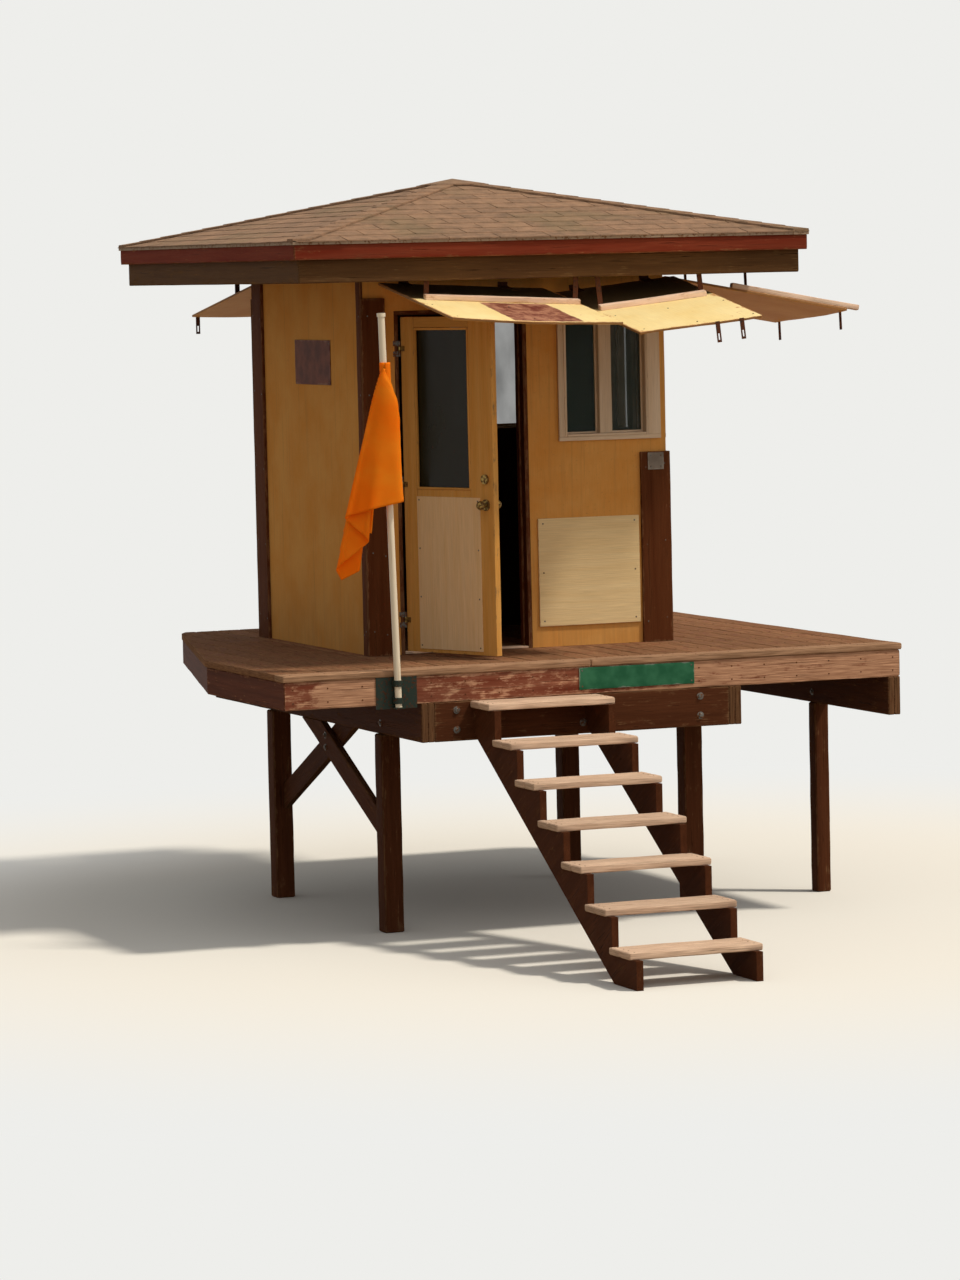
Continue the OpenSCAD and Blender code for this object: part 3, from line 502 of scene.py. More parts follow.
# Two nails at each joist, on the front and back rims
nail_x = np.arange(-0.84, 2.84, joist_pitch / 2)
front_face, back_face, nail_z = -1.0105, 2.5305, (-0.080, -0.155)
spots = [[x, front_face, z] for x in nail_x for z in nail_z]
spots += [[x, back_face, z] for x in nail_x[3:] for z in nail_z]
aims = [[0, -1 if s[1] < 0 else 1, 0] for s in spots]
piece("rim_boards", parts + [repeat(nail, spots, aims)], (chalked_red, nail_rust, kept_red),
      "worn_red_paint", "rim_front", "rim_back", "rim_sides", "rim_corners")


# Joists, girders and the front beam. Treated pine planks stained dark red-brown carry the deck,
# one of them under the joint behind the border board; each girder is two planks over the legs.
stain = ("#4b2a1a", "#5f3824", "#7f5b40", "#543e2c", 0.20)
stained_pine = timber("dark stained pine", *stain)
girder_x = [-0.050, 1.8175, 2.822]
girder_low, girder_high = -0.413, -0.193
frame_y, beam_x = (-1.010, 2.530), (-0.012, 1.7795)
parts = []
for k, low_y in enumerate(np.append(joist_y, border_back) - plank_t / 2):

    def place(u, v, w):
        y = low_y + w
        left = np.interp(y, [inner[4][1], inner[3][1]], [inner[4][0], inner[3][0]])
        return corner + np.stack([left + u * (inner[1][0] - left), y, girder_high + v + 0 * u], -1)
    parts.append(plank(place, (3.6, rim_h, plank_t), 300 + k, step=0.6))
beams = [((x - plank_t + side * plank_t, frame_y[0], girder_low),
          (x + side * plank_t, frame_y[1], girder_high), 1, 320 + 2 * k + side)
         for k, x in enumerate(girder_x) for side in (0, 1)]
beams.append(((beam_x[0], frame_y[0], girder_low), (beam_x[1], frame_y[0] + plank_t, girder_high),
              0, 330))
parts += [board(*beam, edge=0.004, rough=0.002) for beam in beams]
piece("deck_frame", parts, (stained_pine,), "stained_timber", "joists", "girders", "front_beam")


# Legs and braces. Square posts stand on the sand under the girders, and two knee braces pass each
# other under the left girder; hot-dipped bolts with washers go through every joint.
ground, leg_w, right_leg_w = -1.540, 0.115, 0.090
posts = [(x, y, leg_w) for x in girder_x[:2] for y in (-0.360, 1.475)]
posts += [(girder_x[2], y, right_leg_w) for y in (0.005, 1.840)]
parts = [board((x - side / 2, y - side / 2, ground), (x + side / 2, y + side / 2, girder_low), 2, 340 + k,
               edge=0.006, rough=0.004, step=0.12) for k, (x, y, side) in enumerate(posts)]
# Each brace is cut upright at its leg and level under the girder
brace_drop, brace_run, brace_h = 0.517, 1.102, 0.140
brace_half = brace_h / 2 * math.hypot(brace_run, brace_drop) / brace_run
for k, (x, y0, way) in enumerate([(-0.088, -0.3025, 1), (-0.050, 1.4175, -1)]):

    def place(u, v, w):
        f = 2 * v / brace_h - 1
        y1 = (brace_drop - f * brace_half) * brace_run / brace_drop
        z0 = girder_low - brace_drop + f * brace_half
        return corner + np.stack([x + w, y0 + way * u * y1, z0 + u * (girder_low - z0)], -1)
    parts.append(plank(place, (1.2, brace_h, plank_t), 350 + k, 0.004, 0.003))
piece("legs_and_braces", parts, (stained_pine,), "stained_timber", "legs", "leg_braces")

# Galvanised bolts, dull grey with a little rust at the edges: two through each post's head, two
# where the braces cross, and ten along the front beam
dull_zinc = rust_iron("dull galvanised steel", "#66635e", "#6a432b", 0.45)
washer = turned([0.021, 0.021, 0.018], [-0.001, 0.002, 0.0028], 16)
bolt_head = turned([0.0125, 0.0125, 0.010], [0.002, 0.010, 0.0115], 6)
bolt_z = (-0.24, -0.35)
bolts = [((x + face * plank_t, y, z), (face, 0, 0))
         for x, y, side in posts for face in (-1, 1) for z in bolt_z]
cross_y, cross_run = 0.5575, 0.860
cross_z = girder_low - brace_drop + cross_run * brace_drop / brace_run
bolts += [((x, cross_y, cross_z + z), (face, 0, 0))
          for x, face in ((-0.088, -1), (-0.012, 1)) for z in (0.035, -0.035)]
bolts += [((x, frame_y[0] - 0.0003, z), (0, -1, 0))
          for x in (0.12, 0.30, 0.88, 1.05, 1.60) for z in bolt_z]
parts = [repeat(shape, *zip(*bolts), finish=0) for shape in (washer, bolt_head)]
piece("frame_bolts", parts, (dull_zinc,), "steel")


# Stairs. Two saw-tooth stringers cut from wide planks butt against the front beam, and each of
# the seven treads is a pair of boards nailed down on the teeth, bleached by sun and salt.
def dress(finish, *names):
    """Gives CAD nodes a finish by their material slots."""
    for name in names:
        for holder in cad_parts[name].material_slots:
            holder.material = finish


riser, going, tread_d, tread_gap = 0.1925, 0.315, 0.275, 0.006
stair_slope = math.atan2(-ground, 8 * going)
dress(timber("dark stained stringer plank", *stain, turn=(stair_slope, 0, math.radians(90))), "stringers")
bleached_pine = timber("bleached pine", "#bd9882", "#d2b29a", "#e6cab2", "#c2a38c", 0.75, checks=0.7)
half_d = (tread_d - tread_gap) / 2
tread_x, tread_nail_x, nail_share = (0.200, 0.960), (0.239, 0.921), (0.22, 0.78)
parts, spots = [], []
for k in range(1, 8):
    for row in (0, 1):
        y1 = frame_y[0] - (k - 1) * going - row * (half_d + tread_gap)
        parts.append(board((tread_x[0], y1 - half_d, -k * riser - plank_t), (tread_x[1], y1, -k * riser), 0,
                           400 + 2 * k + row, edge=0.005, rough=0.004, step=0.1))
        spots += [[x, y1 - f * half_d, -k * riser - 0.0004] for x in tread_nail_x for f in nail_share]
piece("stair_treads", parts + [repeat(nail, spots, (0, 0, 1))], (bleached_pine, nail_rust),
      "worn_treads", "treads")


# Walls. Exterior plywood over studs, painted ochre: brushed on in upright strokes, dusty at the
# foot and stained by rain. Inside, the faces are painted dark brown as painted shade of the room.
ochre_wall, tree = blank("ochre wall paint on plywood")
here = put(tree, "TexCoord", out="Object")
# Mottling 300 mm, brush strokes 5 by 120 mm upright, and rain streaks 20 mm wide
mottle = noise(here, (3.2, 3.2, 3.2), 5, 0.6)
brush = noise(here, (200, 200, 8), 4)
streak = noise(here, (45, 45, 1.3), 3)
speck = noise(here, (90, 90, 90), 2)
colour = blend(ramp(mottle, 0.36, 0.64), "#d9994c", "#dfa65c")
# Dust thins out over 0.5 m from the deck, which lies 1.54 m above the sand
height = put(tree, "SeparateXYZ", {0: here}, out="Z")
low = ramp(height, 1.54, 2.1, 0.30, 0.0, "SMOOTHSTEP")
dirty = calc("MULTIPLY", low, ramp(streak, 0.3, 0.7, 0.5, 1.3))
dirty = calc("MAXIMUM", dirty, ramp(speck, 0.66, 0.74, 0.0, 0.35))
dirty = calc("MAXIMUM", dirty, ramp(streak, 0.58, 0.78, 0.0, 0.4))
colour = blend(dirty, colour, "#a0784a")
colour = shade(ramp(brush, 0.25, 0.75, 0.94, 1.06), colour)
# Faces that look into the room lie less than 0.84 m from its middle, along X and along Y
middle = put(tree, "VectorMath", {0: here, 1: (*(corner[:2] + hut / 2), 0)}, operation="SUBTRACT")
middle = put(tree, "VectorMath", {0: middle}, operation="ABSOLUTE")
from_x, from_y = (put(tree, "SeparateXYZ", {0: middle}, out=axis) for axis in "XY")
inside = calc("LESS_THAN", calc("MAXIMUM", from_x, from_y), 0.840)
# Painted shade: faces inside the room turn dark brown
colour = blend(inside, colour, "#2e1f12")
close(tree, colour, 0.8, 0.08, Normal=bumps(brush, 0.35, 0.0012))
dress(ochre_wall, "left_wall", "back_wall", "right_wall", "front_wall_left", "front_wall_right",
      "door_header")


# Corner trim boards. Dark brown boards wrap the corners: up to the ceiling on the left wall, up to
# the shutters beside it, and only up to the window sills on the right. Screws hold them.
trim_brown = timber("dark brown trim paint", "#532c18", "#643a22", "#8a6244", "#5c4230", 0.10, checks=0.6)
trim_t = 0.019
screw = turned([0.0050, 0.0050, 0.0036], [-0.001, 0.0007, 0.0012], 8)
parts, spots, aims = [], [], []
for right in (0, 1):
    for back in (0, 1):
        front_w, height, side_h = (0.169, 1.110, 1.110) if right else (0.127, 2.040, 2.160)
        side_w = 0.165 if right or back else 0.070
        # A corner on the right or at the back is mirrored in the cabin's middle plane
        flip = np.array([-1 if right else 1, -1 if back else 1, 1])

        def move(p):
            return p * flip + [hut * right, hut * back, 0]
        seed = 500 + 4 * right + 2 * back
        parts += [board((-trim_t, -trim_t, 0), (front_w, 0, height), 2, seed, move, edge=0.002, step=0.15),
                  board((-trim_t, 0.0005, 0), (0, side_w, side_h), 2, seed + 1, move, edge=0.002, step=0.15)]
        for z in np.arange(0.12, height, 0.45):
            spots.append(move(np.array([[front_w - 0.03, -trim_t, z], [0.02, -trim_t, z + 0.02],
                                        [-trim_t, side_w - 0.02, z], [-trim_t, 0.02, z + 0.02]])))
            aims.append(np.array([[0, -1, 0], [0, -1, 0], [-1, 0, 0], [-1, 0, 0]]) * flip)
parts.append(repeat(screw, np.vstack(spots), np.vstack(aims)))
piece("corner_trim_boards", parts, (trim_brown, dull_zinc), "brown_trim", "corner_trims")


# Door surround. Two brown jambs with a stop strip each, the head board, and a worn threshold.
door_x, door_w, door_h, jamb_t, wall_t = 0.186, 0.814, 1.965, 0.025, 0.095
left, right, clear_h = door_x + jamb_t, door_x + jamb_t + (door_w - 2 * jamb_t), door_h - jamb_t
stop_y, stop_t, sill_h = 0.050, 0.012, 0.012
boxes = [((door_x, 0, 0), (left, wall_t, clear_h), 2, 0.002),
         ((right, 0, 0), (door_x + door_w, wall_t, clear_h), 2, 0.002),
         ((left, stop_y, sill_h), (left + stop_t, wall_t, clear_h), 2, 0.0015),
         ((right - stop_t, stop_y, sill_h), (right, wall_t, clear_h), 2, 0.0015),
         ((door_x, 0, clear_h), (door_x + door_w, wall_t, door_h), 0, 0.002)]
parts = [board(low, high, axis, 520 + k, edge=edge) for k, (low, high, axis, edge) in enumerate(boxes)]
piece("door_jambs_and_head", parts, (trim_brown,), "brown_trim", "door_jambs", "door_head")
piece("door_threshold_board", [board((left, 0, 0), (right, wall_t, sill_h), 0, 525)], (bleached_pine,),
      "worn_treads", "door_threshold")
dress(dull_zinc, "door_hinges")


# Door leaf. A half-glazed exterior door that stands open at 69 degrees: painted stiles and top
# rail, a flush lower half with a pale sheet screwed over it, and beads round the dark glass.
door_angle = -69
pin = np.array([0.2145, -0.007])
leaf_x, leaf_w, leaf_t, leaf_low, leaf_high = 0.218, 0.750, 0.040, 0.020, 1.930
stile_hinge, stile_lock, rail_top, glass_low = 0.110, 0.185, 0.062, 0.950
glass_x0, glass_x1 = leaf_x + stile_hinge, leaf_x + leaf_w - stile_lock
glass_high = leaf_high - rail_top


def spin(a, b, degrees):
    """Turns the pair a, b by an angle: a cos t - b sin t and a sin t + b cos t."""
    c, s = math.cos(math.radians(degrees)), math.sin(math.radians(degrees))
    return c * a - s * b, s * a + c * b


def swing(p):
    """Turns points of the closed door about its hinge pin to where it stands open."""
    x, y = spin(p[..., 0] - pin[0], p[..., 1] - pin[1], door_angle)
    return np.stack([pin[0] + x, pin[1] + y, p[..., 2]], -1)


door_ochre = timber("ochre door paint", "#d2974c", "#dba65e", "#b08858", "#8a6c48", -0.15, checks=0.0)
boxes = [((leaf_x, 0, leaf_low), (glass_x0, leaf_t, leaf_high), 2),
         ((glass_x1, 0, leaf_low), (leaf_x + leaf_w, leaf_t, leaf_high), 2),
         ((glass_x0, 0, glass_high), (glass_x1, leaf_t, leaf_high), 0),
         ((glass_x0, 0, leaf_low), (glass_x1, leaf_t, glass_low), 2)]
parts = [board(low, high, axis, 540 + k, swing, edge=0.0015) for k, (low, high, axis) in enumerate(boxes)]
bead, lip = 0.014, 0.004
for k, low in enumerate((-lip, leaf_t - bead)):
    high = low + bead + lip
    boxes = [((glass_x0, low, glass_low), (glass_x0 + bead, high, glass_high), 2),
             ((glass_x1 - bead, low, glass_low), (glass_x1, high, glass_high), 2),
             ((glass_x0, low, glass_low), (glass_x1, high, glass_low + bead), 0),
             ((glass_x0, low, glass_high - bead), (glass_x1, high, glass_high), 0)]
    parts += [board(*box, 550 + 2 * n + k, swing, edge=0.004) for n, box in enumerate(boxes)]
piece("door_leaf_boards", parts, (door_ochre,), "door_paint", "door_leaf", body="door")

# The sheet on the lower half: painted beige, scuffed, with four screws up each side
beige_sheet = timber("beige painted sheet", "#deba8a", "#e4c49a", "#b89a74", "#94805f", -0.20, checks=0.0)
x0, x1, z0, z1, sheet_t, screw_in = glass_x0, glass_x1 + 0.075, 0.040, 0.910, 0.004, 0.020
heights = np.linspace(z0 + screw_in, z1 - screw_in, 4)
spots = np.array([[x, -sheet_t - 0.0003, z] for x in (x0 + screw_in, x1 - screw_in) for z in heights])
outward = swing(np.array([0, -1, 0.0])) - swing(np.zeros(3))
parts = [board((x0, -sheet_t, z0), (x1, 0, z1), 2, 560, swing, edge=0.001),
         repeat(screw, swing(spots), outward)]
piece("door_lower_sheet", parts, (beige_sheet, dull_zinc), "shutter_paint", "door_panel",
      body="door")
# Knob and deadbolt: brass, dull and brown where hands don't reach
dress(rust_iron("dull brass", "#8d7440", "#5d4326", 0.45, 0.35, 0.9), "door_hardware")


# Glass. The cabin's panes are clear with salt haze; the door's is smoked and dusty. Each is set in
# its frame behind beads.
def pane(name, tint, clear, haze):
    """Window glass: a clear share of it is seen through, and haze of salt and dust lies on it in
    150 mm clouds and upright runs."""
    finish, tree = blank(name)
    here = put(tree, "TexCoord", out="Object")
    cloud = noise(here, (7, 7, 3), 6.0)
    close(tree, tint, ramp(cloud, 0.3, 0.8, 0.04, 0.35), 0.12,
          Alpha=ramp(cloud, 0.35, 0.75, 1 - clear, 1 - clear + haze))
    return finish


dress(pane("salt-hazed window glass", "#2f3f38", 0.60, 0.16), "window_glass")
dress(pane("smoked door glass", "#2a2616", 0.10, 0.08), "door_glass")


# Windows. Each has a frame of off-white casing boards on the wall, a lining through it, and two
# panes side by side in slim sashes; the post between them is two sash stiles that meet.
window_w, window_h, window_z = 0.642, 0.725, 1.187
slim, wide, casing_h, casing_t = 0.051, 0.095, 0.040, 0.020
pane_w, post_w, lining, sash = 0.207, 0.082, 0.015, 0.012
frame_white = timber("off-white frame paint", "#d3bfa4", "#dfceb8", "#b79c80", "#94785e", -0.25, checks=0.0)


def on_right(p):
    """Points drawn on a wall seen from outside, turned onto the right wall."""
    return np.stack([hut - p[..., 1], p[..., 0], p[..., 2]], -1)


def on_back(p):
    """The same, turned onto the back wall."""
    return np.stack([hut - p[..., 0], hut - p[..., 1], p[..., 2]], -1)


def window(move, seed):
    """Boards of one window, drawn with its narrow casing at x = 0 and the wall's face at y = 0."""
    right, top = window_w - wide, window_h - casing_h
    post = slim + pane_w
    low, high = casing_h - lining, top + lining
    # Each board's ends along x, y and z, and its fibres' axis
    rows = [(0, window_w, -casing_t, 0, 0, low, 0),
            (0, window_w, -casing_t, 0, high, window_h, 0),
            (0, slim - lining, -casing_t, 0, low, high, 2),
            (right + lining, window_w, -casing_t, 0, low, high, 2),
            (slim - lining, slim, -casing_t - 0.002, wall_t, low, high, 2),
            (right, right + lining, -casing_t - 0.002, wall_t, low, high, 2),
            (slim, right, -casing_t - 0.004, wall_t, low, casing_h, 0),
            (slim, right, -casing_t - 0.002, wall_t, top, high, 0),
            (post, post + post_w / 2, -0.012, 0.060, casing_h, top, 2),
            (post + post_w / 2, post + post_w, -0.004, 0.060, casing_h, top, 2)]
    for x in (slim, post + post_w):
        rows += [(x, x + sash, 0.022, 0.040, casing_h, top, 2),
                 (x + pane_w - sash, x + pane_w, 0.022, 0.040, casing_h, top, 2),
                 (x, x + pane_w, 0.022, 0.040, casing_h, casing_h + sash, 0),
                 (x, x + pane_w, 0.022, 0.040, top - sash, top, 0)]
    return [board(row[0:6:2], row[1:6:2], row[6], seed + k, move, edge=0.002) for k, row in enumerate(rows)]


gap, back_gap = 0.036, 0.137
homes = [lambda p: p + [hut - gap - window_w, 0, window_z],
         lambda p: on_right(p * [-1, 1, 1] + [gap + window_w, 0, window_z]),
         lambda p: on_back(p * [-1, 1, 1] + [gap + window_w, 0, window_z]),
         lambda p: on_back(p + [hut - back_gap - window_w, 0, window_z])]
parts = [part for k, home in enumerate(homes) for part in window(home, 600 + 20 * k)]
piece("window_casings", parts, (frame_white,), "white_frame", "window_frames")


# Shutters. Sheets of 15 mm plywood hang on pin hinges over the openings and are propped out by
# straps; cream on top, ochre beneath, with a batten across. Three of them sag on worn hinges.
def ply_paint(name, mark=None):
    """Plywood with a face of each paint. The depth through the sheet picks the colour: cream above
    12 mm, ochre below 3 mm, and between them plies 3 mm thick. Paint is lost in patches near the edges.
    The top of the strip under the eave, less than 0.54 m from the hinge, is darkened to brown as
    painted shade of the eave. mark is the box of a faded red field: x0, x1, y0, y1 in metres on the sheet."""
    finish, tree = blank(name)
    spot = read(tree, "spot", "Vector")
    x, y, z = (put(tree, "SeparateXYZ", {0: spot}, out=axis) for axis in "XYZ")
    grain = noise(spot, (90, 7, 7), 4, 0.55)
    patch = noise(spot, (16, 11, 11), 6, 0.65)
    dull = ramp(noise(spot, (3.5, 3.5, 3.5), 5, 0.6), 0.35, 0.65)
    upper = blend(dull, "#fae6ac", "#f4da98")
    # Painted shade: the top face less than 0.54 m from the hinge, under the eave, turns dark brown
    upper = blend(ramp(y, 0.52, 0.56, 0.9, 0.0), upper, "#4c3016")
    if mark:
        ragged = ramp(patch, low=-0.02, high=0.02)
        field = None
        for along, low, high in ((x, *mark[:2]), (y, *mark[2:])):
            along = calc("ADD", along, ragged)
            for a, b in ((low - 0.004, low + 0.004), (high + 0.004, high - 0.004)):
                side = ramp(along, a, b)
                field = calc("MULTIPLY", field, side) if field else side
        old = ramp(noise(spot, (13, 9, 9), 5, 0.7), 0.40, 0.60)
        upper = blend(field, upper, blend(old, "#6c3226", "#b07c62"))
    rub = calc("MULTIPLY_ADD", read(tree, "wear"), 0.33, patch)
    lost = ramp(rub, 0.66, 0.74, shape="SMOOTHSTEP")
    upper = blend(lost, upper, "#cf9f6c")
    stripe = calc("SINE", calc("MULTIPLY", z, 2 * math.pi / 0.0060))
    plies = blend(ramp(stripe, -0.3, 0.3), "#7d5230", "#b98a58")
    colour = blend(ramp(z, 0.0120, 0.0125), plies, upper)
    lower = blend(dull, "#cc8f44", "#d8a25a")
    colour = blend(ramp(z, 0.0030, 0.0025), colour, lower)
    colour = shade(ramp(grain, 0.25, 0.75, 0.95, 1.04), colour)
    high = calc("MULTIPLY_ADD", lost, -0.6, grain)
    close(tree, colour, 0.65, 0.2, Normal=bumps(high, 0.45, 0.0015))
    return finish


shutter_l, shutter_t, pin_off, pin_gap = 1.195, 0.015, 0.009, 0.010
hinge_z, eave_out = 2.130, 0.596
batten_h, batten_d = 0.030, 0.038
batten_paint = timber("chalky pink-cream batten paint", "#e2bda4", "#f0d6c0", "#c9966e", "#a06e46", -0.10,
                      checks=0.4)


def tilt(p, angle):
    """Slopes points about the hinge axis, which lies pin_off before the wall."""
    y, z = spin(p[..., 1], p[..., 2], angle)
    return np.stack([p[..., 0], y - pin_off, z], -1)


def sagged(p, angle):
    """Turns points in the wall's plane, clockwise seen from outside."""
    x, z = spin(p[..., 0], p[..., 2], -angle)
    return np.stack([x, p[..., 1], z], -1)


def shutter(name, width, angle, batten, move, seed, node, paint, edged=False):
    """One shutter. The sheet bows by 5 mm between its props, z += -5 mm sin(pi x / w) (s / l)^2, and the
    batten stands on it with its front face at the eave beam's line. edged adds a second batten, which
    lies along the near edge and runs 75 mm past the free one."""
    length = shutter_l - pin_gap

    def sheet(u, v, w):
        s = v / length
        droop = -0.005 * np.sin(np.pi * u) * s ** 2 + 0.004 * np.sin(5 * u + seed) * s ** 3
        p = np.stack([u * width + 0 * v, -pin_gap - v, w - shutter_t + droop], -1)
        return corner + move(tilt(p, angle))
    parts = [plank(sheet, (width, length, shutter_t), seed, 0.002, 0.002, 0.08)]
    slope = math.tan(math.radians(angle))
    foot = [-(y - pin_off) * slope - 0.001 for y in (eave_out, eave_out - batten_d)]
    batten_w = batten[1] - batten[0]

    def rail(u, v, w):
        p = np.stack([batten[0] + u * batten_w + 0 * v, w - eave_out,
                      foot[0] + (foot[1] - foot[0]) * (w / batten_d) + v], -1)
        return corner + move(p)
    parts.append(plank(rail, (batten_w, batten_h + 0.001, batten_d), seed + 1, 0.003, 0.003, 0.1, 1))
    if edged:
        near, far = 0.440, shutter_l + 0.075

        def rim(u, v, w):
            p = np.stack([v, -near - u * (far - near) + 0 * v, w - 0.001], -1)
            return corner + move(tilt(p, angle))
        parts.append(plank(rim, (far - near, 0.038, batten_h + 0.001), seed + 2, 0.003, 0.002, 0.1, 1))
    across, down = (0.05, width / 2, width - 0.03), (0.03, 0.45, 0.75, 1.14)
    spots = np.array([[x, -y, 0.0] for x in across for y in down])
    normal = move(tilt(np.array([0, 0, 1.0]), angle)) - move(tilt(np.zeros(3), angle))
    parts.append(repeat(screw, move(tilt(spots, angle)), normal, 2, seed))
    piece(name, parts, (paint, batten_paint, dull_zinc), "shutter_paint", node)


cream_ply = ply_paint("cream painted plywood")
marked_ply = ply_paint("cream plywood with a faded red field", (0.38, 0.79, 0.60, 1.17))
door_w2, window_w2, side_w = 1.020, 0.755, 1.000
shutter("shutter_over_door", door_w2, 9.5, (0.068, door_w2 - 0.010),
        lambda p: sagged(p, 3) + [0.090, 0, hinge_z], 700, "shutter_door", marked_ply)
shutter("shutter_over_window", window_w2, 11, (0.030, window_w2 - 0.060),
        lambda p: sagged(p - [window_w2, 0, 0], -6) + [hut + 0.062, 0, hinge_z],
        710, "shutter_window", cream_ply)
shutter("shutter_on_right", side_w, 10.5, (0.038, side_w - 0.068),
        lambda p: on_right(sagged(p, 4.5) + [0, 0, hinge_z]), 720, "shutter_right", cream_ply, edged=True)
shutter("shutter_back_first", side_w, 9, (0.068, side_w - 0.068),
        lambda p: on_back(p + [hut - side_w, 0, hinge_z]), 730, "shutter_back_left", cream_ply)
shutter("shutter_back_second", side_w, 9, (0.068, side_w - 0.068),
        lambda p: on_back(p + [hut - 2 * side_w - 0.050, 0, hinge_z]), 740, "shutter_back_right", cream_ply)
# Straps, pin hinges and hasps: bare iron that has gone dark brown in the salt air
dress(rust_iron("rusted iron straps", "#3c2c22", "#5c3420", 0.75, 0.7, 0.3), "shutter_irons")


# Eaves. A deep beam of dark brown timber rings the overhang under a red fascia board, both
# mitred at the corners, with a plywood ceiling between the beams and the walls.
eave_wood = timber("weathered eave timber", "#563c25", "#684a2f", "#80603f", "#43301f", 0.22)
fascia_red = timber("worn red-brown fascia paint", "#782e1e", "#8c4430", "#a96e4c", "#5e3826", 0.14)
eave_half, roof_half = hut / 2 + eave_out, hut / 2 + 0.634
eave_low, eave_high, fascia_low, fascia_high = 2.135, 2.319, 2.264, 2.353


def ring(half, low, high, seed, **shape):
    """Four mitred boards of a square ring: half is its outer half side about the cabin's middle."""
    made = []
    for k in range(4):
        c, s = round(math.cos(k * math.pi / 2)), round(math.sin(k * math.pi / 2))
        front, back = (square[:2] * h @ [[c, s], [-s, c]] + hut / 2 for h in (half, half - plank_t))
        made.append(mitred(front, back, low, high, seed + k, **shape))
    return made


piece("eave_beams", ring(eave_half, eave_low, eave_high, 800, edge=0.004, rough=0.002), (eave_wood,),
      "eave_timber", "eave_front_back", "eave_sides")
piece("fascia_boards", ring(roof_half, fascia_low, fascia_high, 810, edge=0.004, rough=0.003),
      (fascia_red,), "worn_red_paint", "fascia_front_back", "fascia_sides")
dress(timber("bare plywood ceiling", "#6b5030", "#7a5c3a", "#8a6a46", "#54402a", 0.3, turn=(0, 0, 0),
             checks=0.4), "ceiling")


# Roof. Plywood sheathing carries twelve courses of asphalt shingles on each of the four slopes,
# with bent caps over the hips and a thin metal drip edge under the first course.
def shingle_grit(name, light, dark, moss):
    """Granules on asphalt: a tint for each tab, mottling 60 mm, grit drawn at 11 mm so that it shows,
    darker lower edges, and moss on parts that stay damp."""
    finish, tree = blank(name)
    here = put(tree, "TexCoord", out="Object")
    grit = noise(here, 90.0, 4.0)
    mix = calc("MULTIPLY_ADD", read(tree, "tone"), 0.22, noise(here, 16.0, 5.0))
    mix = calc("MULTIPLY_ADD", grit, 0.6, mix)
    colour = blend(ramp(mix, 0.62, 1.22), dark, light)
    damp = ramp(noise(here, 2.2, 4.0), 0.52, 0.68, 0.0, 0.35)
    edge = ramp(read(tree, "wear"), 0.2, 1.0, 1.0, 0.92)
    colour = shade(edge, blend(damp, colour, moss))
    close(tree, colour, 0.92, 0.2, Normal=bumps(grit, 0.6, 0.002))
    return finish


roof_reach, roof_rise, roof_low = 1.5785, 0.34462, 2.37538
slope_len = math.hypot(roof_reach, roof_rise)
exposure, tab_w, courses, caps = 0.1346, 0.305, 12, 15
rng = np.random.default_rng(31)


def slope_point(side, x, t, n):
    """Point on slope number side: x along the eave from its middle, t up the slope, n out of it."""
    run = roof_reach - t * roof_reach / slope_len - n * roof_rise / slope_len
    z = roof_low + t * roof_rise / slope_len + n * roof_reach / slope_len
    a = side * math.pi / 2
    c, s = math.cos(a), math.sin(a)
    return corner + np.stack([hut / 2 + c * x + s * run, hut / 2 + s * x - c * run, z + 0 * x], -1)


def slabs(top, bottom, tone, ledge):
    """Thin closed slabs from grids of top and bottom points, shaped (count, rows, columns, 3). The faces
    of one slab are its top grid, its bottom grid turned over, and a wall round the rim."""
    count, rows, cols = top.shape[:3]
    grid = np.arange(rows * cols).reshape(rows, cols)
    quad = np.stack([grid[:-1, :-1], grid[:-1, 1:], grid[1:, 1:], grid[1:, :-1]], -1).reshape(-1, 4)
    rim = np.concatenate([grid[0, :-1], grid[:-1, -1], grid[-1, :0:-1], grid[:0:-1, 0]])
    half = rows * cols
    wall = np.stack([rim, rim + half, np.roll(rim, -1) + half, np.roll(rim, -1)], -1)
    faces = np.concatenate([quad, quad[:, ::-1] + half, wall])
    co = np.concatenate([top.reshape(count, -1, 3), bottom.reshape(count, -1, 3)], 1)
    loops = (faces.ravel() + np.arange(count)[:, None] * 2 * half).ravel()
    flat = co.reshape(-1, 3)
    wear = np.concatenate([ledge.reshape(count, -1), np.ones((count, half))], 1).ravel()
    return {"co": flat, "loops": loops, "sizes": np.full(count * len(faces), 4), "grain": flat[loops],
            "spot": flat, "wear": wear, "tone": np.repeat(tone, 2 * half), "finish": 0}


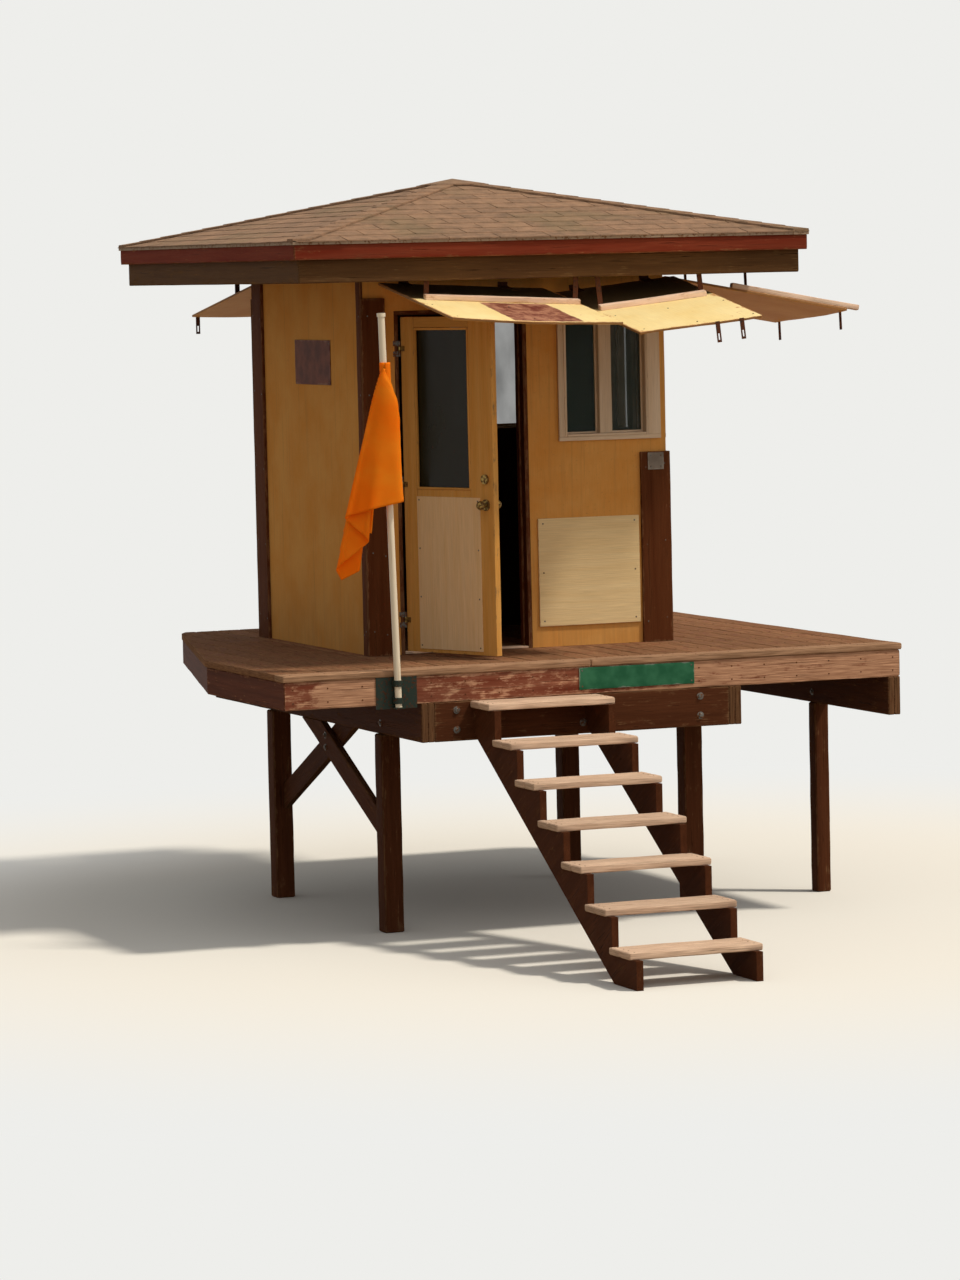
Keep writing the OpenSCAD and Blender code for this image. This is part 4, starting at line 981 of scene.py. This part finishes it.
def course_tabs(side):
    """All tabs of one slope. A tab starts at its course's lower edge, 5 mm off the sheathing, thins to
    2 mm under the next course, and is clipped at the hips, where |x| = reach (1 - t / slope)."""
    left, course = [], []
    for c in range(courses):
        start = -roof_reach - tab_w * (0.5 if c % 2 else 1.0) + 0.02
        left.append(np.arange(start, roof_reach, tab_w))
        course.append(np.full(len(left[-1]), c))
    left, course = np.concatenate(left), np.concatenate(course)
    t0 = course * exposure + rng.uniform(-0.003, 0.003, len(left))
    right = left + tab_w - 0.006
    tau, col = np.linspace(0, 1, 4)[None, :, None], np.linspace(0, 1, 4)
    t = np.minimum(t0[:, None, None] + tau * (exposure + 0.02), slope_len * 0.995)
    wide = roof_reach * (1 - t / slope_len)
    a = np.clip(left[:, None, None], -wide, wide)
    b = np.clip(right[:, None, None], -wide, wide)
    keep = (b - a)[:, 0, 0] > 0.02
    x = (a + np.maximum(b - a, 0.0015) * col)[keep]
    curl = rng.uniform(0, 0.0025, (len(left), 1, 1)) * (1 - tau) ** 2 * (2 * col - 1) ** 2
    t = t[keep] + 0 * x
    n = -0.0055 - 0.003 * tau + curl[keep]
    top, bottom = (slope_point(side, x, t, out + 0 * x) for out in (n, -0.0105))
    tone = rng.uniform(size=len(left))[keep]
    return slabs(top, bottom, tone, 0 * x + np.exp(-tau * exposure / 0.006) * 0.8)


def hip_caps(side):
    """Bent caps over the hip at the right end of slope side: 0.10 m each way across it, each lapping the
    one below, with n falling from 7.5 mm at the exposed end to 2.5 mm. |x| stays between 0 and the hip."""
    t0 = np.linspace(0.004, slope_len - 0.17, caps)[:, None, None]
    tau, col = np.linspace(0, 1, 3)[None, :, None], np.linspace(-1, 1, 7)
    t = t0 + tau * 0.15 + 0 * col
    reach = 0.095 + 0.005 * rng.uniform(-1, 1, (caps, 1, 1))
    hip = roof_reach * (1 - t / slope_len)
    x = hip - np.minimum(np.abs(col) * reach, hip)
    this, other = (np.stack([slope_point(s, way * x, t, n + 0 * x) for n in (0.0075 - 0.005 * tau, -0.004)])
                   for s, way in ((side, 1), (side + 1, -1)))
    top, bottom = np.where((col < 0)[..., None], this, other)
    return slabs(top, bottom, rng.uniform(0.2, 0.8, caps), np.exp(-tau * 0.15 / 0.006) * 0.8 + 0 * x)


def shell(half, low, high, rise, finish):
    """A shallow four-sided pyramid shell: the same square and peak at two heights."""
    plan = np.vstack([square * half + hut / 2] * 2 + [[hut / 2] * 2] * 2)
    co = corner + np.column_stack([plan, [low] * 4 + [high] * 4 + [low + rise, high + rise]])
    faces = [[0, 1, 5, 4], [1, 2, 6, 5], [2, 3, 7, 6], [3, 0, 4, 7]]
    tris = [[4, 5, 9], [5, 6, 9], [6, 7, 9], [7, 4, 9], [1, 0, 8], [2, 1, 8], [3, 2, 8], [0, 3, 8]]
    loops = np.concatenate([np.ravel(faces), np.ravel(tris)])
    return {"co": co, "loops": loops, "sizes": np.array([4] * 4 + [3] * 8), "grain": co[loops],
            "spot": co, "wear": np.zeros(10), "tone": np.full(10, 0.4), "finish": finish}


grit = shingle_grit("brown asphalt shingles", "#a48268", "#77604e", "#756a4e")
drip_metal = rust_iron("drip edge metal", "#a08a76", "#7c5c46", 0.35, 0.7, 0.1)
# One square cap, folded on its diagonals, closes the peak
cap_half = 0.150
cap_low = roof_low + roof_rise * (1 - cap_half / roof_reach)
parts = [course_tabs(side) for side in range(4)] + [hip_caps(side) for side in range(4)]
parts += [shell(cap_half, cap_low - 0.002, cap_low + 0.008, roof_rise * cap_half / roof_reach, 0),
          shell(roof_reach - 0.004, roof_low - 0.026, roof_low - 0.0105, roof_rise, 1)]
piece("shingle_roof", parts, (grit, drip_metal), "shingles", "roof")


# Pale panel under the front window: a bare painted board on the wall with three screws up each
# side. Bare plates: red-brown on the left wall, green on the front rim, grey on the low trim.
cream_board = timber("pale cream painted board", "#e0c694", "#e8d2a4", "#c6a878", "#9c825c", -0.20,
                     checks=0.0)
x0, x1, panel_t = 1.044, 1.681, 0.012
spots = [[x, -panel_t, z] for x in (x0 + 0.03, x1 - 0.03) for z in (0.15, 0.43, 0.715)]
parts = [board((x0, -panel_t, 0.119), (x1, 0, 0.745), 0, 850, edge=0.002), repeat(screw, spots, (0, -1, 0))]
piece("pale_panel", parts, (cream_board, dull_zinc), "shutter_paint", "kick_panel")


def plate_paint(name, paint, chalk, metal):
    """Painted sheet metal: chalking in 80 mm clouds, and bare metal where the rim has rubbed."""
    finish, tree = blank(name)
    here = put(tree, "TexCoord", out="Object")
    cloud = noise(here, 12.0, 6.0)
    colour = blend(ramp(cloud, 0.38, 0.62), paint, chalk)
    rub = calc("MULTIPLY_ADD", read(tree, "wear"), 0.35, cloud)
    close(tree, blend(ramp(rub, 0.78, 0.84), colour, metal), 0.6, 0.1)
    return finish


plates = [((-0.005, 0.550, 1.540), (0, 1.150, 1.800), (-1, 0, 0),
           plate_paint("faded red-brown plate", "#4f2414", "#6e3c2a", "#7e5a46")),
          ((0.860, -1.015, -0.167), (1.565, -1.010, -0.042), (0, -1, 0),
           plate_paint("green plate", "#235c40", "#357052", "#7c8a7c")),
          ((1.740, -0.024, 1.005), (1.840, -0.019, 1.105), (0, -1, 0),
           plate_paint("grey plate", "#7b736b", "#8c857d", "#9c9890"))]
rivet_in = 0.018
parts = []
for k, (low, high, outward, paint) in enumerate(plates):
    low, high = np.array(low), np.array(high)
    parts.append(board(low, high, int(np.argmax(high - low)), 860 + k, edge=0.001, finish=k))
    # A rivet sits near each corner of the outward face
    ends = [(low[a],) if outward[a] else (low[a] + rivet_in, high[a] - rivet_in) for a in range(3)]
    spots = [(x, y, z) for x in ends[0] for y in ends[1] for z in ends[2]]
    parts.append(repeat(screw, spots, outward, 3))
piece("bare_plates", parts, (*[plate[3] for plate in plates], dull_zinc), "plate_paint", "plates")


# Flag pole and bracket. A white painted tube, with faint upright runs of rust, stands in two clamp
# rings on a dark green steel plate that is bolted to the front rim.
white_tube, tree = blank("white painted tube")
runs = noise(put(tree, "TexCoord", out="Object"), (60, 60, 2.5), 5.0)
close(tree, blend(ramp(runs, 0.56, 0.72, 0.0, 0.6), "#ebdfc8", "#bb9c76"), 0.35)
dress(white_tube, "flag_pole")
dress(rust_iron("dark green painted steel", "#1f2b23", "#4a2e1e", 0.3, 0.5, 0.0), "flag_bracket")


# Flag. Orange woven nylon on a sleeve round the pole. In the still air it hangs from the top of the
# hoist in folds that all run out of that corner; a short cloth simulation settles them.
flag_hoist, flag_fly, flag_below_tip = 0.760, 0.950, 0.250
pole_l, pole_x, pole_y, pole_foot, pole_lean = 2.150, -0.235, -1.045, -0.203, math.radians(1.3)
flag_top, sleeve_r = pole_l - flag_below_tip, 0.030
sideways, deeper = np.array([0.929, -0.370, 0.0]), np.array([0.370, 0.929, 0.0])
# Each fold out of the corner: the angle below the corner where it lies, its turn and its spread
turns = np.array([(0.085, -158, 0.085), (0.270, -46, 0.100), (0.490, -158, 0.060), (0.665, 178, 0.055),
                  (0.855, -178, 0.050), (0.980, 180, 0.050), (1.115, -180, 0.050), (1.255, 180, 0.050),
                  (1.400, -180, 0.050)])
columns, threads, ring_steps = 96, 70, 18


def on_pole(t):
    """The pole's axis at t metres above its foot, in cabin coordinates."""
    t = np.asarray(t, float)
    x, z = pole_x - math.sin(pole_lean) * t, pole_foot + math.cos(pole_lean) * t
    return np.stack([x, pole_y + 0 * t, z], -1)


def folded():
    """The free cloth, folded without stretch. A thread point a from the hoist and b below the top lies
    at r = hypot(a, b) from the corner, in the direction that the angle atan2(a, b) reaches on a curve
    of unit speed on the sphere. The curve's heading is the sum of its turns, each a smooth step."""
    fly, down = np.linspace(0, flag_fly, columns), np.linspace(0, flag_hoist, threads)
    a, b = np.meshgrid(fly, down, indexing="ij")
    r, angle = np.hypot(a, b), np.arctan2(a, np.maximum(b, 1e-9))
    arc = np.linspace(0, math.pi / 2, 1601)
    rise = np.clip((arc[:, None] - turns[:, 0]) / turns[:, 2] + 0.5, 0, 1)
    heading = (rise ** 2 * (3 - 2 * rise)) @ np.radians(turns[:, 1])
    start_p, start_q = 0.0211, 0.0084
    p = start_p + np.interp(angle, arc, np.cumsum(np.cos(heading)) * arc[1])
    q = start_q + np.interp(angle, arc, np.cumsum(np.sin(heading)) * arc[1])
    rho = np.hypot(p, q)
    share = (np.sin(rho) / rho)[..., None]
    way = share * (p[..., None] * sideways + q[..., None] * deeper) - np.cos(rho)[..., None] * [0, 0, 1]
    corner_point = on_pole(flag_top) - sleeve_r * deeper + 0.008 * sideways
    # The upper folds bulge a little to the left of that, and the edge beside the hoist to the right
    left = -0.030 * np.clip((angle - 0.15) / 0.3, 0, 1) * (1 - np.clip((angle - 0.6) / 0.3, 0, 1))
    left = left * (1 - np.exp(-r / 0.06))
    right = 0.062 * np.exp(-((angle - 0.09) / 0.11) ** 2)
    right = right * (1 - np.exp(-(r / 0.16) ** 2)) * np.exp(-(r / 0.55) ** 2)
    return corner_point + r[..., None] * way + (left + right)[..., None] * sideways


def flag_cloth():
    """The sleeve, a ring round the pole that starts and ends at its front, and the free cloth, as one
    grid: row u from the seam to the fly, column v from the upper edge to the lower one."""
    turn = np.arange(ring_steps) / ring_steps * 2 * math.pi
    down = np.linspace(0, flag_hoist, threads)
    middle = on_pole(flag_top - down) + 0.008 * sideways
    round_pole = (-math.pi / 2 + turn)[:, None, None]
    sleeve = middle[None] + sleeve_r * (np.cos(round_pole) * sideways + np.sin(round_pole) * deeper)
    co = np.concatenate([sleeve, folded()]) + corner
    across = np.concatenate([turn * sleeve_r, 2 * math.pi * sleeve_r + np.linspace(0, flag_fly, columns)])
    grid = np.arange(len(across) * threads).reshape(-1, threads)
    faces = np.stack([grid[:-1, :-1], grid[1:, :-1], grid[1:, 1:], grid[:-1, 1:]], -1).reshape(-1, 4)
    mesh = bpy.data.meshes.new("flag_cloth")
    mesh.from_pydata(co.reshape(-1, 3).tolist(), [], faces.tolist())
    place = np.stack(np.meshgrid(across, down, indexing="ij"), -1).reshape(-1, 2)
    mesh.uv_layers.new(name="cloth").data.foreach_set("uv", place[faces.ravel()].ravel().astype(np.float32))
    return mesh


cloth = add("flag_cloth", flag_cloth())
# A light breath of wind pulls the cloth down and to the left for ten frames
scene.gravity = (-1.0, 0.3, -9.7)
pinned = cloth.vertex_groups.new(name="sleeve")
pinned.add(list(range((ring_steps + 1) * threads)), 1.0, "REPLACE")
drape = cloth.modifiers.new("drape", "CLOTH")
for name, value in {"quality": 6, "mass": 0.12, "tension_stiffness": 20, "compression_stiffness": 20,
                    "shear_stiffness": 10, "bending_stiffness": 0.4, "air_damping": 4,
                    "vertex_group_mass": "sleeve"}.items():
    setattr(drape.settings, name, value)
drape.collision_settings.use_self_collision = True
drape.collision_settings.self_distance_min = 0.003
drape.point_cache.frame_start, drape.point_cache.frame_end = 1, 10
for step in range(1, 11):
    scene.frame_set(step)
held = cloth.evaluated_get(bpy.context.evaluated_depsgraph_get())
settled = bpy.data.meshes.new_from_object(held)
cloth.modifiers.remove(drape)
cloth.data = settled
scene.frame_set(1)
scene.gravity = (0, 0, -9.81)
weave, tree = blank("orange woven nylon")
uv = put(tree, "UVMap", uv_map="cloth")
# The weave is drawn at 3 mm, four times coarser than the real thread, so that it shows
warp, weft = (put(tree, "TexWave", {"Vector": uv, "Scale": 53.0}, out="Fac", bands_direction=way)
              for way in "XY")
bump = bumps(calc("MULTIPLY", warp, weft), 0.25, 0.001)
colour = blend(ramp(noise(uv, 5.0, 4.0), 0.35, 0.65), "#ff9212", "#ffa624")
through = put(tree, "BsdfTranslucent", {"Color": colour})
shader = gloss_coat(tree, colour, 0.7, 0.1, Normal=bump)
thin = put(tree, "MixShader", {0: 0.4, 1: shader, 2: through})
put(tree, "OutputMaterial", {"Surface": thin})
cloth.data.materials.clear()
cloth.data.materials.append(weave)
body = cloth.modifiers.new("thickness", "SOLIDIFY")
body.thickness = 0.0012
body.offset = 0
cloth.data.shade_smooth()
settle(cloth, "tower", "flag_cloth", "flag")
